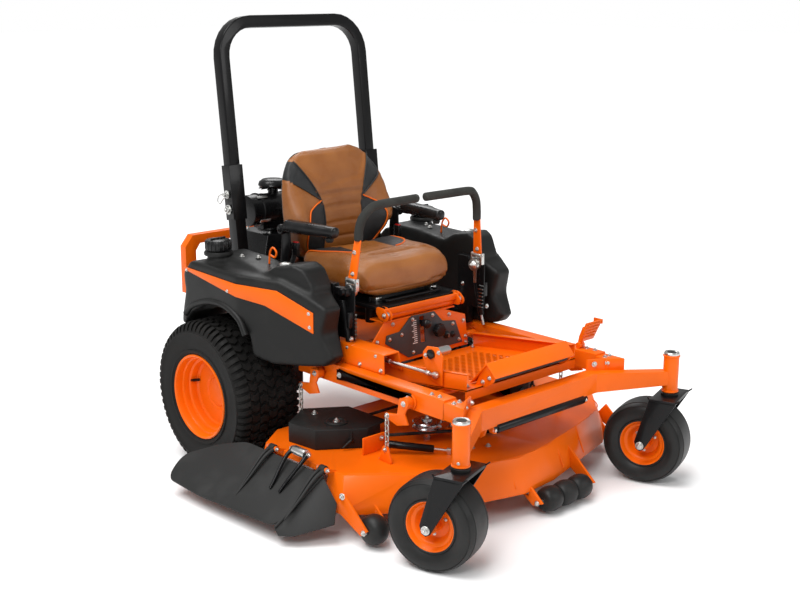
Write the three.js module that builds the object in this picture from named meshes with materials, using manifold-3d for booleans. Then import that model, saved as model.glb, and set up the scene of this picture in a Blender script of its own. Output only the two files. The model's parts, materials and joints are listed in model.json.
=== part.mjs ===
// Zero turn mower: a ride-on mower with two driven rear wheels, two swivelling front
// casters, a fold-down roll bar and a side-discharge cutting deck hung under the frame.
//
// Units are millimetres and +Z is up. The machine drives towards -Y, and +X is the
// operator's left. Shapes are written from the ground point under the middle of the
// rear axle, and the whole model is then set over the bottom centre of its box.
import * as THREE from 'three';
import { ConvexGeometry } from 'three/addons/geometries/ConvexGeometry.js';
import { mergeVertices } from 'three/addons/utils/BufferGeometryUtils.js';
import Module from 'manifold-3d';

const wasm = await Module();
wasm.setup();

// ---------------------------------------------------------------- driving dimensions
const GAP = 0.4;                                   // clearance between touching pieces
const SIDES = [['right', -1], ['left', 1]];        // operator's right is -X

const AXLE_FROM_BOX_CENTRE = { x: 78.5, y: 395.95 };  // rear axle's place in the model's frame

const WHEEL = { x: 550, r: 305, half: 148, rimR: 170, rimHalf: 140, boreR: 24 };
const CASTER = { x: 579.5, y: -1342, trail: 81, swivel: -19, r: 163, half: 78, rimR: 87, rimHalf: 61 };
const STEM = { r: 30, bottom: 372, top: 521, shaftR: 14, boreR: 15 };

const RAIL = { inner: 385, outer: 445, bottom: 440, top: 512, front: -1128, back: -330 };
const BEAM = { bend: 320, front: -1190, back: -1131, bottom: 386, top: 462, endBottom: 404, endTop: 456 };
const REAR = { half: 300, front: -350, back: 430, floor: 432, top: 560, plate: 8 };

const FLOOR = { half: 300, back: -560, backZ: 446, front: -1094, frontZ: 508, wall: 58, plate: 5 };
const KICK = { ridgeHalf: 219, ridgeY: -1113, ridgeZ: 597, noseY: -1158, noseZ: 549 };

const ROPS = { lean: 6.5, y: 163.5, z: 1003, outer: 397, tube: 50, top: 774, bend: 165, collarTop: 179,
  collarBottom: -24, collarWall: 5 };

const LEVER = { y: -520, z: 776, swingY: -531, swingZ: 815, gripR: 17 };
const SEAT = { hingeY: -539, hingeZ: 651, platformZ: 676, platformTop: 690, half: 215, back: -10 };
const ARM = { y: -78, z: 938 };

const DECK = { centre: 15, bottom: 96, top: 225, plate: 6, spindleX: 490, spindleY: -590, middleY: -890,
  rollerX: 682 };
const BLADE = { r: 252, width: 64, z: 120, thick: 7 };
const CHUTE = { hingeX: -712, hingeZ: 237, frontBoss: -795, rearBoss: -506, plate: 7 };
const HANGER = { frontY: -968, rearY: -478, z: 470, shaftR: 13, armX: 478, reach: 96 };

// ---------------------------------------------------------------- materials
const paint = (color, roughness, metalness) => new THREE.MeshStandardMaterial({ color, roughness,
    metalness });
const FINISH = {
  orange: paint(0xf26a0a, 0.35, 0.1),
  black: paint(0x101112, 0.3, 0.2),
  steel: paint(0xb9bcc0, 0.3, 0.9),
  rubber: paint(0x1b1c1d, 0.8, 0),
  plastic: paint(0x242526, 0.6, 0),
  vinyl: paint(0x9a551f, 0.5, 0),
  grey: paint(0x4a4d50, 0.5, 0.1),
  cast: paint(0x2b2c2e, 0.5, 0.5),
};

// ---------------------------------------------------------------- solid modelling helpers

/** Turns a closed three.js geometry into a solid that can be cut and joined. */
function solid(geometry) {
  const bare = geometry.clone();
  bare.deleteAttribute('normal');
  bare.deleteAttribute('uv');
  const merged = mergeVertices(bare, 1e-4);
  return new wasm.Manifold(new wasm.Mesh({
    numProp: 3,
    vertProperties: new Float32Array(merged.attributes.position.array),
    triVerts: new Uint32Array(merged.index.array),
  }));
}

/** Turns a solid back into a geometry. */
function geometryOf(body) {
  const mesh = body.getMesh();
  const geometry = new THREE.BufferGeometry();
  geometry.setAttribute('position', new THREE.BufferAttribute(mesh.vertProperties, 3));
  geometry.setIndex(new THREE.BufferAttribute(mesh.triVerts, 1));
  geometry.computeVertexNormals();
  return geometry;
}

const join = (...bodies) => bodies.reduce((all, body) => all.add(body));
const cut = (body, ...tools) => tools.reduce((rest, tool) => rest.subtract(tool), body);

/** A box from its lowest to its highest corner. */
function box(x0, x1, y0, y1, z0, z1) {
  const geometry = new THREE.BoxGeometry(x1 - x0, y1 - y0, z1 - z0);
  return solid(geometry.translate((x0 + x1) / 2, (y0 + y1) / 2, (z0 + z1) / 2));
}

/** The convex solid around a list of points. */
const hull = (points) => solid(new ConvexGeometry(points.map((p) => new THREE.Vector3(...p))));

/** A round bar along one axis, centred on a point. */
function bar(axis, radius, length, centre, sides = 16, endRadius = radius) {
  const geometry = new THREE.CylinderGeometry(endRadius, radius, length, sides);
  if (axis === 'x') geometry.rotateZ(-Math.PI / 2);
  if (axis === 'z') geometry.rotateX(Math.PI / 2);
  return solid(geometry.translate(...centre));
}

/** A round bar between two points. */
function strut(radius, from, to, sides = 12) {
  const start = new THREE.Vector3(...from);
  const end = new THREE.Vector3(...to);
  const geometry = new THREE.CylinderGeometry(radius, radius, start.distanceTo(end), sides);
  const turn = new THREE.Quaternion().setFromUnitVectors(
    new THREE.Vector3(0, 1, 0), end.clone().sub(start).normalize());
  geometry.applyQuaternion(turn);
  const middle = start.add(end).multiplyScalar(0.5);
  return solid(geometry.translate(middle.x, middle.y, middle.z));
}

/** A flat plate: an outline in one plane, and the two heights it lies between. */
function plate(plane, outline, low, high) {
  const shape = new THREE.Shape(outline.map(([u, v]) => new THREE.Vector2(u, v)));
  const geometry = new THREE.ExtrudeGeometry(shape, { depth: high - low, bevelEnabled: false });
  const bases = {
    xy: [[1, 0, 0], [0, 1, 0], [0, 0, 1], [0, 0, low]],
    yz: [[0, 1, 0], [0, 0, 1], [1, 0, 0], [low, 0, 0]],
    xz: [[1, 0, 0], [0, 0, 1], [0, -1, 0], [0, high, 0]],
  };
  const [u, v, w, origin] = bases[plane].map((p) => new THREE.Vector3(...p));
  return solid(geometry.applyMatrix4(new THREE.Matrix4().makeBasis(u, v, w).setPosition(origin)));
}

/** A turned piece: points of (radius, place along the axis), closed on themselves. */
function turned(axis, profile, sides) {
  const points = [...profile, profile[0]].map(([r, t]) => new THREE.Vector2(r, t));
  const geometry = new THREE.LatheGeometry(points, sides);
  if (axis === 'x') geometry.rotateZ(-Math.PI / 2);
  if (axis === 'z') geometry.rotateX(Math.PI / 2);
  const merged = solid(geometry);
  return merged.volume() < 0 ? solid(flipped(geometry)) : merged;
}

/** The same geometry with its faces turned over. */
function flipped(geometry) {
  const index = geometry.index.array;
  for (let i = 0; i < index.length; i += 3) [index[i], index[i + 1]] = [index[i + 1], index[i]];
  return geometry;
}

/** A bent round tube through a list of points. */
function tube(radius, points, steps, sides = 10) {
  const path = new THREE.CatmullRomCurve3(points.map((p) => new THREE.Vector3(...p)), false,
      'centripetal');
  const section = new THREE.Shape();
  section.absarc(0, 0, radius, 0, Math.PI * 2);
  const geometry = new THREE.ExtrudeGeometry(section, { steps, extrudePath: path,
      curveSegments: sides / 2 });
  return solid(geometry);
}

/** Points of an arc, in degrees, in one plane. */
function arc(cu, cv, radius, from, to, steps) {
  return Array.from({ length: steps + 1 }, (_, i) => {
    const angle = THREE.MathUtils.degToRad(from + ((to - from) * i) / steps);
    return [cu + radius * Math.cos(angle), cv + radius * Math.sin(angle)];
  });
}

/** A mirror copy for the operator's right; the left is as drawn. */
const onSide = (body, side) => (side < 0 ? body.scale([-1, 1, 1]) : body);

const mower = new THREE.Group();
const machine = new THREE.Group();
machine.position.set(AXLE_FROM_BOX_CENTRE.x, AXLE_FROM_BOX_CENTRE.y, 0);
mower.add(machine);

/** Adds one named piece. */
function add(name, body, finish, parent = machine) {
  const mesh = new THREE.Mesh(geometryOf(body), finish.clone());
  mesh.name = name;
  parent.add(mesh);
  return mesh;
}

// ---------------------------------------------------------------- frame

/** A closed frame rail of rectangular tube, with holes for the two deck hanger shafts. */
function frameRail() {
  const holes = [HANGER.frontY, HANGER.rearY].map((y) =>
    bar('x', HANGER.shaftR + 2, 120, [(RAIL.inner + RAIL.outer) / 2, y, HANGER.z]));
  return cut(box(RAIL.inner, RAIL.outer, RAIL.front, RAIL.back, RAIL.bottom, RAIL.top), ...holes);
}

/** The rear frame: engine plate, two side plates, the cross member and its outriggers. */
function engineDeck() {
  const { half, front, back, floor, top, plate: t } = REAR;
  const sidePlates = [-1, 1].map((s) =>
    plate('yz', [[front, floor], [back, floor], [back, top - 40], [-120, top], [front, 512]],
      s < 0 ? -half : half - t, s < 0 ? -half + t : half));
  return join(
    box(-half, half, front, back, floor, floor + t),
    box(-RAIL.inner + GAP, RAIL.inner - GAP, RAIL.back - 60, front + 1, RAIL.bottom, RAIL.top - 12),
    ...sidePlates,
  );
}

/** The front beam: a middle length, two arms angled forwards, gussets and the caster stems. */
function frontBeam() {
  const b = BEAM;
  const middle = box(-b.bend, b.bend, b.front, b.back, b.bottom, b.top);
  const arms = [-1, 1].map((s) => {
    const inner = [[b.bend, b.front], [b.bend, b.back]];
    const outer = [[CASTER.x - 12, CASTER.y - 20], [CASTER.x + 6, CASTER.y + 22]];
    return join(
      hull([
        ...inner.flatMap(([x, y]) => [[s * x, y, b.bottom], [s * x, y, b.top]]),
        ...outer.flatMap(([x, y]) => [[s * x, y, b.endBottom], [s * x, y, b.endTop]]),
      ]),
      hull([[b.bend + 2, b.back, 360], [b.bend + 2, b.back - 8, 360], [b.bend + 150, -1215, 400],
        [b.bend + 150, -1223, 400], [b.bend + 2, b.back, 504], [b.bend + 2, b.back - 8, 504],
        [b.bend + 96, -1180, 504], [b.bend + 96, -1188, 504]].map(([x, y, z]) => [s * x, y, z])),
      bar('z', STEM.r, STEM.top - STEM.bottom, [s * CASTER.x, CASTER.y, (STEM.top + STEM.bottom) / 2],
          18),
    );
  });
  const bores = [-1, 1].map((s) => bar('z', STEM.boreR, 200, [s * CASTER.x, CASTER.y, 450], 12));
  const lugs = [-1, 1].map((s) => hull([[246, -1180, 392], [258, -1180, 392], [246, -1152, 392],
      [258, -1152, 392],
    [246, -1195, 362], [258, -1195, 362], [246, -1172, 362], [258, -1172, 362]].map(([x, y,
        z]) => [s * x, y, z])));
  const rollBar = bar('x', 12.5, 520, [0, -1184, 376], 14);
  return cut(join(middle, ...arms, ...lugs, rollBar), ...bores);
}

/** The foot platform: a floor that climbs forwards, with a raised wall on each side. */
function floorPan() {
  const { half, back, backZ, front, frontZ, wall, plate: t } = FLOOR;
  const floor = plate('yz', [[back, backZ - t], [front, frontZ - t], [front, frontZ],
      [back, backZ]].reverse(), -half, half);
  const walls = [-1, 1].map((s) => plate('yz',
    [[back, backZ - t], [front, frontZ - t], [front, frontZ + wall], [back, backZ + wall]].reverse(),
    s < 0 ? -half : half - t, s < 0 ? -half + t : half));
  const lip = box(-half, half, front, front + t, frontZ - 40, frontZ);
  return join(floor, ...walls, lip);
}

/** The ridge-shaped kick plate at the front of the floor. */
function kickPlate() {
  const k = KICK;
  const foot = [FLOOR.front + 62, 506];
  const outline = [foot, [k.ridgeY, k.ridgeZ], [k.noseY, k.noseZ], [k.noseY + 4, k.noseZ - 4],
    [k.ridgeY, k.ridgeZ - 8], [foot[0] - 6, foot[1]]];
  return plate('yz', outline, -k.ridgeHalf, k.ridgeHalf);
}

/** The panel across the front of the seat base, which carries the control plate. */
function consolePanel() {
  const outline = [[-255, 452], [275, 452], [255, 585], [175, 612], [120, 632], [-190, 632], [-255, 560]];
  return cut(plate('xz', outline, -549.4, -543.4), box(-18, 28, -560, -540, 505, 628));
}

/** The dark control plate with its height-of-cut slot. */
function controlPlate() {
  const outline = [[-69, 465], [235, 472], [192, 570], [120, 581], [70, 630], [-55, 632], [-116, 579],
    [-185, 575], [-191, 543]];
  const slot = plate('xz', [[-2, 512], [24, 512], [13, 622], [-13, 622]], -560, -500);
  return cut(plate('xz', outline, -556, -550), slot);
}

/** The box-shaped cover over the lift linkage on the right-hand rail. */
function linkHousing() {
  const outer = hull([[-402, -490, 513], [-402, -775, 513], [-392, -500, 584], [-392, -760, 584],
    [-308, -490, 513], [-308, -775, 513], [-312, -500, 584], [-312, -760, 584]]);
  const inner = hull([[-396, -496, 512], [-396, -790, 512], [-387, -506, 578], [-387, -790, 578],
    [-314, -496, 512], [-314, -790, 512], [-318, -506, 578], [-318, -790, 578]]);
  return cut(outer, inner);
}

/** One lever stand: a black post and side plate between the rail and the lever pivot. */
function leverStand() {
  return join(
    box(352, 384, -470, -410, 513, 800),
    box(352, 358, -560, -410, 590, 783),
    box(352, 384, -470, -330, 513, 560),
    bar('x', 14, 40, [372, LEVER.y, LEVER.z]),
    box(352, 380, -540, -450, 762, 790),
  );
}

/** The rear guard: a plate frame around the engine, on two arms. */
function rearBumper() {
  const outer = [[-330, 560], [330, 560], [330, 770], [290, 818], [-290, 818], [-330, 770]];
  const inner = [[-275, 610], [275, 610], [275, 748], [252, 778], [-252, 778], [-275, 748]];
  const arms = [-1, 1].map((s) => box(Math.min(s * 250, s * 290), Math.max(s * 250, s * 290),
    REAR.back - 70, 605, 561, 600));
  const feet = [-1, 1].map((s) => box(Math.min(s * 250, s * 290), Math.max(s * 250, s * 290),
    REAR.back - 70, REAR.back - 30, REAR.floor + REAR.plate + GAP, 570));
  return join(cut(plate('xz', outer, 600, 640), plate('xz', inner, 590, 650)), ...arms, ...feet);
}

// ---------------------------------------------------------------- body panels and engine

/** Keeps the part of a tank that lies inside the plan's taper towards the front. */
function tankPlan(outerX) {
  return plate('xy', [[404, 260], [404, -480], [440, -620], [outerX - 152, -620], [outerX, -200],
      [outerX, 150],
    [outerX - 40, 260]].reverse(), 400, 1000);
}

/** One fuel tank and wheel arch in one moulding. */
function fuelTank() {
  const skin = [[216, 560], [150, 702], [164, 777], [110, 833], [44, 836], [-375, 824], [-500, 775],
      [-573, 736],
    [-545, 640], [-597, 554], [-560, 516], [-494, 506], [-346, 494], [-262, 512], [-245, 600],
        [-190, 658],
    [-90, 684], [10, 672], [110, 620], [178, 556]];
  const crown = [[80, 800], [60, 862], [-100, 858], [-240, 838], [-270, 836], [-324, 868],
      [-408, 884], [-455, 868],
    [-500, 800], [-480, 700], [60, 700]];
  const core = plate('yz', skin, 404, 640);
  const top = plate('yz', crown, 404, 555);
  const neck = bar('z', 44, 60, [560, 20, 850], 20);
  const railRoom = box(400, RAIL.outer + GAP, -700, RAIL.back + GAP, 400, RAIL.top + GAP);
  return cut(join(core.intersect(tankPlan(640)), top.intersect(tankPlan(610)), neck), railRoom);
}

/** The coloured panel along the side of one tank. */
function stripePanel() {
  const outline = [[139, 806], [-374, 787], [-522, 720], [-522, 641], [-325, 724], [132, 794]];
  const skin = [[640, 260], [640, -200], [495.2, -600]];
  const plan = [...skin.map(([x, y]) => [x + 4, y]), ...skin.reverse().map(([x, y]) => [x + GAP, y])];
  return plate('yz', outline, 480, 660).intersect(plate('xy', plan.reverse(), 400, 1000));
}

/** The engine: crankcase with two slanted cylinders. */
function engineBlock() {
  const cylinders = [-1, 1].map((s) => hull([[40, 200], [200, 330]].flatMap(([x0, x1]) =>
    [[s * x0, 190, 560], [s * x0, 330, 560], [s * x1, 200, 690], [s * x1, 320, 690],
        [s * x0, 200, 760]])));
  return join(box(-150, 150, 170, 420, REAR.floor + REAR.plate + GAP, 700), ...cylinders);
}

/** The blower housing over the engine. */
function engineShroud() {
  return join(
    hull([[-215, 180, 762], [215, 180, 762], [-215, 440, 762], [215, 440, 762], [-180, 200, 862],
        [180, 200, 862],
      [-180, 400, 862], [180, 400, 862]]),
    bar('z', 105, 30, [0, 340, 870], 24),
  );
}

/** The air filter canister on its saddle, with its rain cap. */
function airFilter() {
  return join(
    bar('x', 66, 300, [-105, 250, 968], 18),
    bar('x', 71, 26, [-205, 250, 968], 18),
    box(-190, 20, 215, 285, 885.5, 920),
    bar('z', 20, 50, [-109, 250, 1050], 14),
    bar('z', 62, 26, [-109, 250, 1078], 20, 44),
  );
}

/** A ribbed screw cap for a tank. */
function fuelCap(side) {
  const ribs = Array.from({ length: 6 }, (_, i) => {
    const angle = (i * Math.PI) / 3;
    return bar('z', 7, 40, [560 + 46 * Math.cos(angle), 20 + 46 * Math.sin(angle), 901], 5);
  });
  return onSide(join(bar('z', 50, 44, [560, 20, 903], 16), ...ribs), side);
}

// ---------------------------------------------------------------- roll bar

/** The fixed post and hinge channel on one side, in the leaning frame of the bar. */
function ropsPost() {
  const r = ROPS;
  const wall = r.collarWall;
  const inner = r.outer - wall - GAP - r.tube;
  const outerX = r.outer + GAP;
  const post = box(inner, inner + r.tube, -r.tube / 2, r.tube / 2, -430, -r.tube / 2 - 2);
  const channel = join(
    box(inner - wall - GAP, outerX + wall, -r.tube / 2 - wall - GAP, -r.tube / 2 - GAP,
        r.collarBottom - 16, r.collarTop),
    box(inner - wall - GAP, inner - GAP, -r.tube / 2 - wall - GAP, r.tube / 2 + wall,
        r.collarBottom - 16, r.collarTop),
    box(inner + r.tube + GAP, inner + r.tube + GAP + wall, -r.tube / 2 - wall - GAP, r.tube / 2 + wall,
      r.collarBottom - 16, r.collarTop),
    box(inner - wall - GAP, inner + r.tube + GAP + wall, -r.tube / 2 - wall - GAP, r.tube / 2 + wall,
      r.collarBottom - 20, r.collarBottom - 4),
  );
  const foot = box(REAR.half + GAP, inner + r.tube, -60, 60, -505, -425);
  return join(post, channel.intersect(box(inner - 20, r.outer + GAP + wall, -80, 80, -200, 300)), foot);
}

/** The folding hoop: two legs and a top bar, bent from one square tube. */
function ropsHoop() {
  const r = ROPS;
  const outer = r.outer - r.collarWall - GAP;
  const inner = outer - r.tube;
  const innerBend = r.bend - r.tube;
  const rounded = (half, top, bend) => [
    ...arc(half - bend, top - bend, bend, 0, 90, 7),
    ...arc(-half + bend, top - bend, bend, 90, 180, 7),
  ];
  const outline = [[outer, 0], ...rounded(outer, r.top, r.bend), [-outer, 0],
    [-inner, 0], ...rounded(inner, r.top - r.tube, innerBend).reverse(), [inner, 0]];
  const ends = [-1, 1].map((s) => bar('x', r.tube / 2, r.tube, [(s * (outer + inner)) / 2, 0, 0], 20));
  return join(plate('xz', outline, -r.tube / 2, r.tube / 2), ...ends);
}

// ---------------------------------------------------------------- operator's controls and seat

/** The drive hub of one lever, which turns on the stand's stub. */
function leverHub() {
  const { y, z, swingY, swingZ } = LEVER;
  return join(
    bar('x', 24, 18, [342, y, z], 16),
    box(334, 350, swingY - 31, swingY + 31, z + 4, swingZ - 14),
    ...[-1, 1].map((s) => box(334, 350, swingY + s * 27 - 4, swingY + s * 27 + 4, swingZ - 15,
        swingZ + 11)),
    hull([[338, y - 8, z - 20], [346, y - 8, z - 20], [338, y + 8, z - 20], [346, y + 8, z - 20],
      [338, y - 6, z - 78], [346, y - 6, z - 78], [338, y + 6, z - 78], [346, y + 6, z - 78]]),
  );
}

/** One control lever: the flat bar, then the padded grip bent in over the lap. */
function controlLever() {
  const { swingY: y, swingZ: z, gripR } = LEVER;
  const blade = hull([[339, y - 22, z], [345, y - 22, z], [339, y + 22, z], [345, y + 22, z],
    [317, y - 34, 990], [323, y - 34, 990], [317, y + 4, 990], [323, y + 4, 990]]);
  const grip = tube(gripR, [[320, y - 13, 960], [318, y - 14, 1010], [306, y - 20, 1052],
      [276, y - 30, 1086],
    [246, y - 40, 1099], [140, y - 28, 1098], [26, y - 16, 1096]], 15, 8);
  const heel = bar('y', 11, 44, [342, y, z], 12);
  return join(blade, grip, heel);
}

/** The tilting seat platform with its front hinge bar and the suspension box. */
function seatPlatform() {
  const s = SEAT;
  return join(
    box(-s.half, s.half, -520, s.back, s.platformZ, s.platformTop),
    box(-190, 190, -548, -515, 660, s.platformTop),
    bar('x', 16, 376, [0, s.hingeY, s.hingeZ], 16),
    box(-175, 175, -440, -60, s.platformTop - 1, 707.6),
  );
}

/** The two mirrored points of each point of a soft pad, on its right and its left. */
const bothSides = (points) => points.flatMap(([x, y, z]) => [[-x, y, z], [x, y, z]]);

/** The seat cushion as a plain closed pad. */
function seatCushion() {
  return hull(bothSides([[200, -460, 708], [235, -95, 708], [240, -477, 780], [262, -300, 790],
    [262, -100, 790], [215, -440, 858], [240, -200, 868], [215, -105, 862]]));
}

/** The seat back as a plain closed pad, leaning back. */
function seatBack() {
  return hull(bothSides([[215, -98, 892], [215, -5, 800], [275, -94, 960], [262, -10, 960],
    [268, -80, 1060], [258, 14, 1060], [225, -45, 1150], [225, 32, 1150], [175, -12, 1200],
    [175, 42, 1200], [130, 8, 1238], [130, 36, 1238]]));
}

/** One armrest: pad and arm, hinged at the seat back. */
function armrest() {
  return join(
    hull([[262, -372, 950], [312, -372, 950], [262, -364, 984], [312, -364, 984], [298, -120, 936],
      [340, -120, 936], [298, -120, 996], [340, -120, 996], [258, -300, 988], [330, -300, 988]]),
    box(306, 330, -130, ARM.y, 942, 964),
    bar('x', 20, 24, [318, ARM.y, ARM.z + 8], 16),
  );
}

/** The rocker of the lift linkage: a rounded plate on a short tube. */
function liftRocker() {
  const outline = [[-985, 500], [-916, 516], [-884, 585], [-884, 610], [-905, 634], [-958, 640],
      [-985, 610]];
  return join(plate('yz', outline.reverse(), -312, -305), bar('x', 17, 80, [-266, -930, 610], 14),
    bar('x', 13, 12, [-316, -930, 610], 12));
}

/** The link rod from the housing to the rocker, with its two rod ends. */
function liftRod() {
  const from = [-346, -705, 548];
  const to = [-323, -962, 540];
  return join(strut(6, from, to, 10), bar('x', 13, 12, from, 14), bar('x', 13, 12, to, 14));
}

/** The foot pedal that raises the deck. */
function liftPedal() {
  return join(
    plate('yz', [[-1040, 520], [-1016, 520], [-1024, 560], [-1040, 600],
        [-1050, 600]].reverse(), 408, 416),
    hull([[398, -1034, 540], [478, -1034, 540], [398, -1040, 540], [478, -1040, 540], [405, -1056, 618],
      [505, -1056, 618], [405, -1062, 618], [505, -1062, 618]]),
    box(472, 478, -1040, -1000, 540, 558),
    box(500, 506, -1062, -1020, 600, 618),
    bar('x', 12, 30, [412, -1028, 524.5], 14),
  );
}

/** One deck hanger shaft with a crank arm at each end. */
function hangerShaft(y) {
  const arms = [-1, 1].map((s) => plate('yz',
    [[y - 22, 486], [y + 18, 488], [y + 24, 470], [y + 4, 432], [y + 22, 396], [y - 34, 380],
      [y - HANGER.reach, 398], [y - HANGER.reach, 414], [y - 34, 424]].map(([u, v]) => [2 * y - u, v]),
    s < 0 ? -HANGER.armX - 8 : HANGER.armX, s < 0 ? -HANGER.armX : HANGER.armX + 8));
  return join(bar('x', HANGER.shaftR, 2 * HANGER.armX + 10, [0, y, HANGER.z], 14), ...arms);
}

// ---------------------------------------------------------------- cutting deck

/** The deck's plan outline: an outer line at the skirt's foot or at its top edge. */
function deckOutline(inset) {
  const i = inset;
  return [[-715 + i, -905 + i], [-500, -1062 + i], [-257, -1164 + i], [-101, -1207 + i], [78, -1192 + i],
    [537, -1064 + i], [690 - i, -940 + i], [775 - i, -850 + i / 2], [775 - i, -480], [610, -326 - i / 4],
    [-560, -326 - i / 4], [-715 + i, -420]];
}

/** The deck shell: an open pan with sloping front walls, spindle holes and a discharge opening. */
function deckShell() {
  const ring = (inset, z) => deckOutline(inset).map(([x, y]) => [x, y, z]);
  const outer = hull([...ring(0, DECK.bottom), ...ring(0, DECK.bottom + 20), ...ring(36, DECK.top)]);
  const inner = hull([...ring(8, DECK.bottom - 20), ...ring(8, DECK.bottom + 20), ...ring(42,
      DECK.top - DECK.plate)]);
  const discharge = box(-800, -660, -790, -440, 0, 206);
  const holes = spindlePlaces().map(([, x, y]) => bar('z', 24, 60, [x, y, DECK.top], 18));
  const ears = [CHUTE.frontBoss, CHUTE.rearBoss].flatMap((y) => [-1, 1].map((s) => join(
    bar('y', 10, 8, [CHUTE.hingeX, y + s * 19, CHUTE.hingeZ], 10),
    hull([[CHUTE.hingeX, y + s * 15, 244], [CHUTE.hingeX, y + s * 23, 244],
        [CHUTE.hingeX, y + s * 15, 227],
      [CHUTE.hingeX, y + s * 23, 227], [-668, y + s * 15, 222], [-668, y + s * 23, 222],
      [-668, y + s * 15, 226], [-668, y + s * 23, 226]]),
  )));
  const frontArms = [-62, 238].map((x) => hull([[x - 5, -1080, 218], [x + 5, -1080, 218],
      [x - 5, -1090, 130],
    [x + 5, -1090, 130], [x - 5, -1262, 62], [x + 5, -1262, 62], [x - 5, -1216, 44],
        [x + 5, -1216, 44]]));
  const sideArms = [-1, 1].flatMap((s) => [-46, 46].map((dx) => {
    const x = DECK.centre + s * DECK.rollerX + dx;
    return hull([[x - 4, -915, 175], [x + 4, -915, 175], [x - 4, -860, 112], [x + 4, -860, 112],
        [x - 4, -900, 98],
      [x + 4, -900, 98], [x - 4, -1032, 76], [x + 4, -1032, 76], [x - 4, -1000, 50], [x + 4, -1000, 50]]);
  }));
  const shell = cut(join(outer, ...frontArms, ...sideArms), inner, discharge, ...holes);
  return join(shell, ...ears);
}

/** The three spindles: name, and place in plan. */
function spindlePlaces() {
  return [['right', DECK.centre - DECK.spindleX, DECK.spindleY], ['centre', DECK.centre, DECK.middleY],
    ['left', DECK.centre + DECK.spindleX, DECK.spindleY]];
}

/** A spindle: shaft, belt pulley and blade, which turn together. */
function spindle() {
  const tip = (s) => hull([[0, -1, 0], [0, 1, 0], [0, -1, 1], [0, 1, 1], [1, -1, 0], [0.96, 1, 0],
      [1, -1, 1], [0.96, 1, 1]]
    .map(([u, v, w]) => [s * u * BLADE.r, s * v * BLADE.width * 0.5, BLADE.z + w * BLADE.thick]));
  return join(
    bar('z', 17, 175, [0, 0, 205], 12),
    bar('z', 46, 10, [0, 0, 205], 12),
    bar('z', 70, 24, [0, 0, 262], 18),
    tip(-1), tip(1),
    bar('z', 26, 14, [0, 0, 112], 12),
  );
}

/** One belt cover: a folded box over an outer spindle, open below and towards the middle. */
function beltCover() {
  const outline = [[640, -470], [625, -610], [465, -722], [350, -690], [350, -480], [500, -380]];
  const grow = ([x, y], k) => [500 + (x - 500) * k, -560 + (y + 560) * k];
  const layer = (k, z) => outline.map((p) => [...grow(p, k), z]);
  const outer = hull([...layer(1, DECK.top + 1), ...layer(1, 302)]);
  const inner = hull([...layer(0.97, DECK.top - 20), ...layer(0.97, 298)]);
  const mouth = box(300, 380, -760, -400, 200, 292);
  return cut(outer, inner, mouth).translate([-15, 0, 0]);
}

/** The discharge chute: a sloping plate with a turned-down front lip, ribs and hinge bosses. */
function chute() {
  const t = CHUTE.plate;
  const slab = (corners) => hull(corners.flatMap(([x, y, z]) => [[x, y, z], [x, y, z - t]]));
  const top = slab([[-724, -350, 222], [-724, -812, 216], [-912, -770, 62], [-930, -330, 58]]);
  const tail = slab([[-724, -350, 222], [-930, -330, 58], [-932, -150, 74], [-912, -100, 90],
    [-816, -160, 150]]);
  const lip = slab([[-724, -811, 216], [-912, -769, 62], [-915, -790, 44], [-764, -917, 80],
    [-725, -890, 140]]);
  const ribs = [CHUTE.frontBoss, CHUTE.rearBoss].map((y) => join(
    hull([[CHUTE.hingeX - 4, y - 11, 249], [CHUTE.hingeX - 4, y + 11, 249], [-728, y - 11, 206],
        [-728, y + 11, 206],
      [-890, y - 3, 118], [-890, y + 3, 118], [-890, y - 3, 106], [-890, y + 3, 106]]),
    bar('y', 12, 28, [CHUTE.hingeX, y, CHUTE.hingeZ], 12),
  ));
  return join(top, tail, lip, ...ribs);
}

/** The front roller: three rounded rollers on one axle. */
function frontRollers() {
  const ball = (x) => turned('x', [[6, -42], [24, -42], [34, -28], [37.5, -10], [37.5, 10], [34, 28],
      [24, 42], [6, 42]], 12)
    .translate([x, 0, 0]);
  return join(ball(4), ball(88), ball(172), bar('x', 7, 286, [88, 0, 0], 10));
}

/** One side anti-scalp roller with its axle. */
function sideRoller() {
  return join(
    turned('x', [[6, -39], [30, -39], [46, -29], [54, -12], [54, 12], [46, 29], [30, 39], [6, 39]], 14),
    bar('x', 7, 83, [0, 0, 0], 8));
}

// ---------------------------------------------------------------- wheels

/** A driven rear tyre, about its own centre with the axle along X. */
function rearTyre() {
  const w = WHEEL;
  return turned('x', [[w.rimR, -w.rimHalf], [225, -w.half], [284, -w.half + 12], [w.r, -w.half + 46],
    [w.r, w.half - 46], [284, w.half - 12], [225, w.half], [w.rimR, w.rimHalf],
    [w.rimR - 12, w.rimHalf - 14], [w.rimR - 12, -w.rimHalf + 14]], 28);
}

/** A rear rim with its dished disc, open towards the outside, which is +X here. */
function rearRim() {
  const r = WHEEL.rimR - 12 - GAP;
  const h = WHEEL.rimHalf - 14;
  return turned('x', [[WHEEL.boreR, -10], [100, -14], [r - 8, -h], [r, -h], [r, h], [r - 7, h], [146, 40],
    [118, 0], [WHEEL.boreR, 0]], 28);
}

/** A caster tyre, about its own centre with the axle along X. */
function casterTyre() {
  const c = CASTER;
  return turned('x', [[c.rimR, -c.rimHalf], [118, -c.half], [150, -c.half + 14], [c.r, -c.half + 40],
    [c.r, c.half - 40], [150, c.half - 14], [118, c.half], [c.rimR, c.rimHalf],
    [c.rimR - 8, c.rimHalf - 12], [c.rimR - 8, -c.rimHalf + 12]], 20);
}

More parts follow.
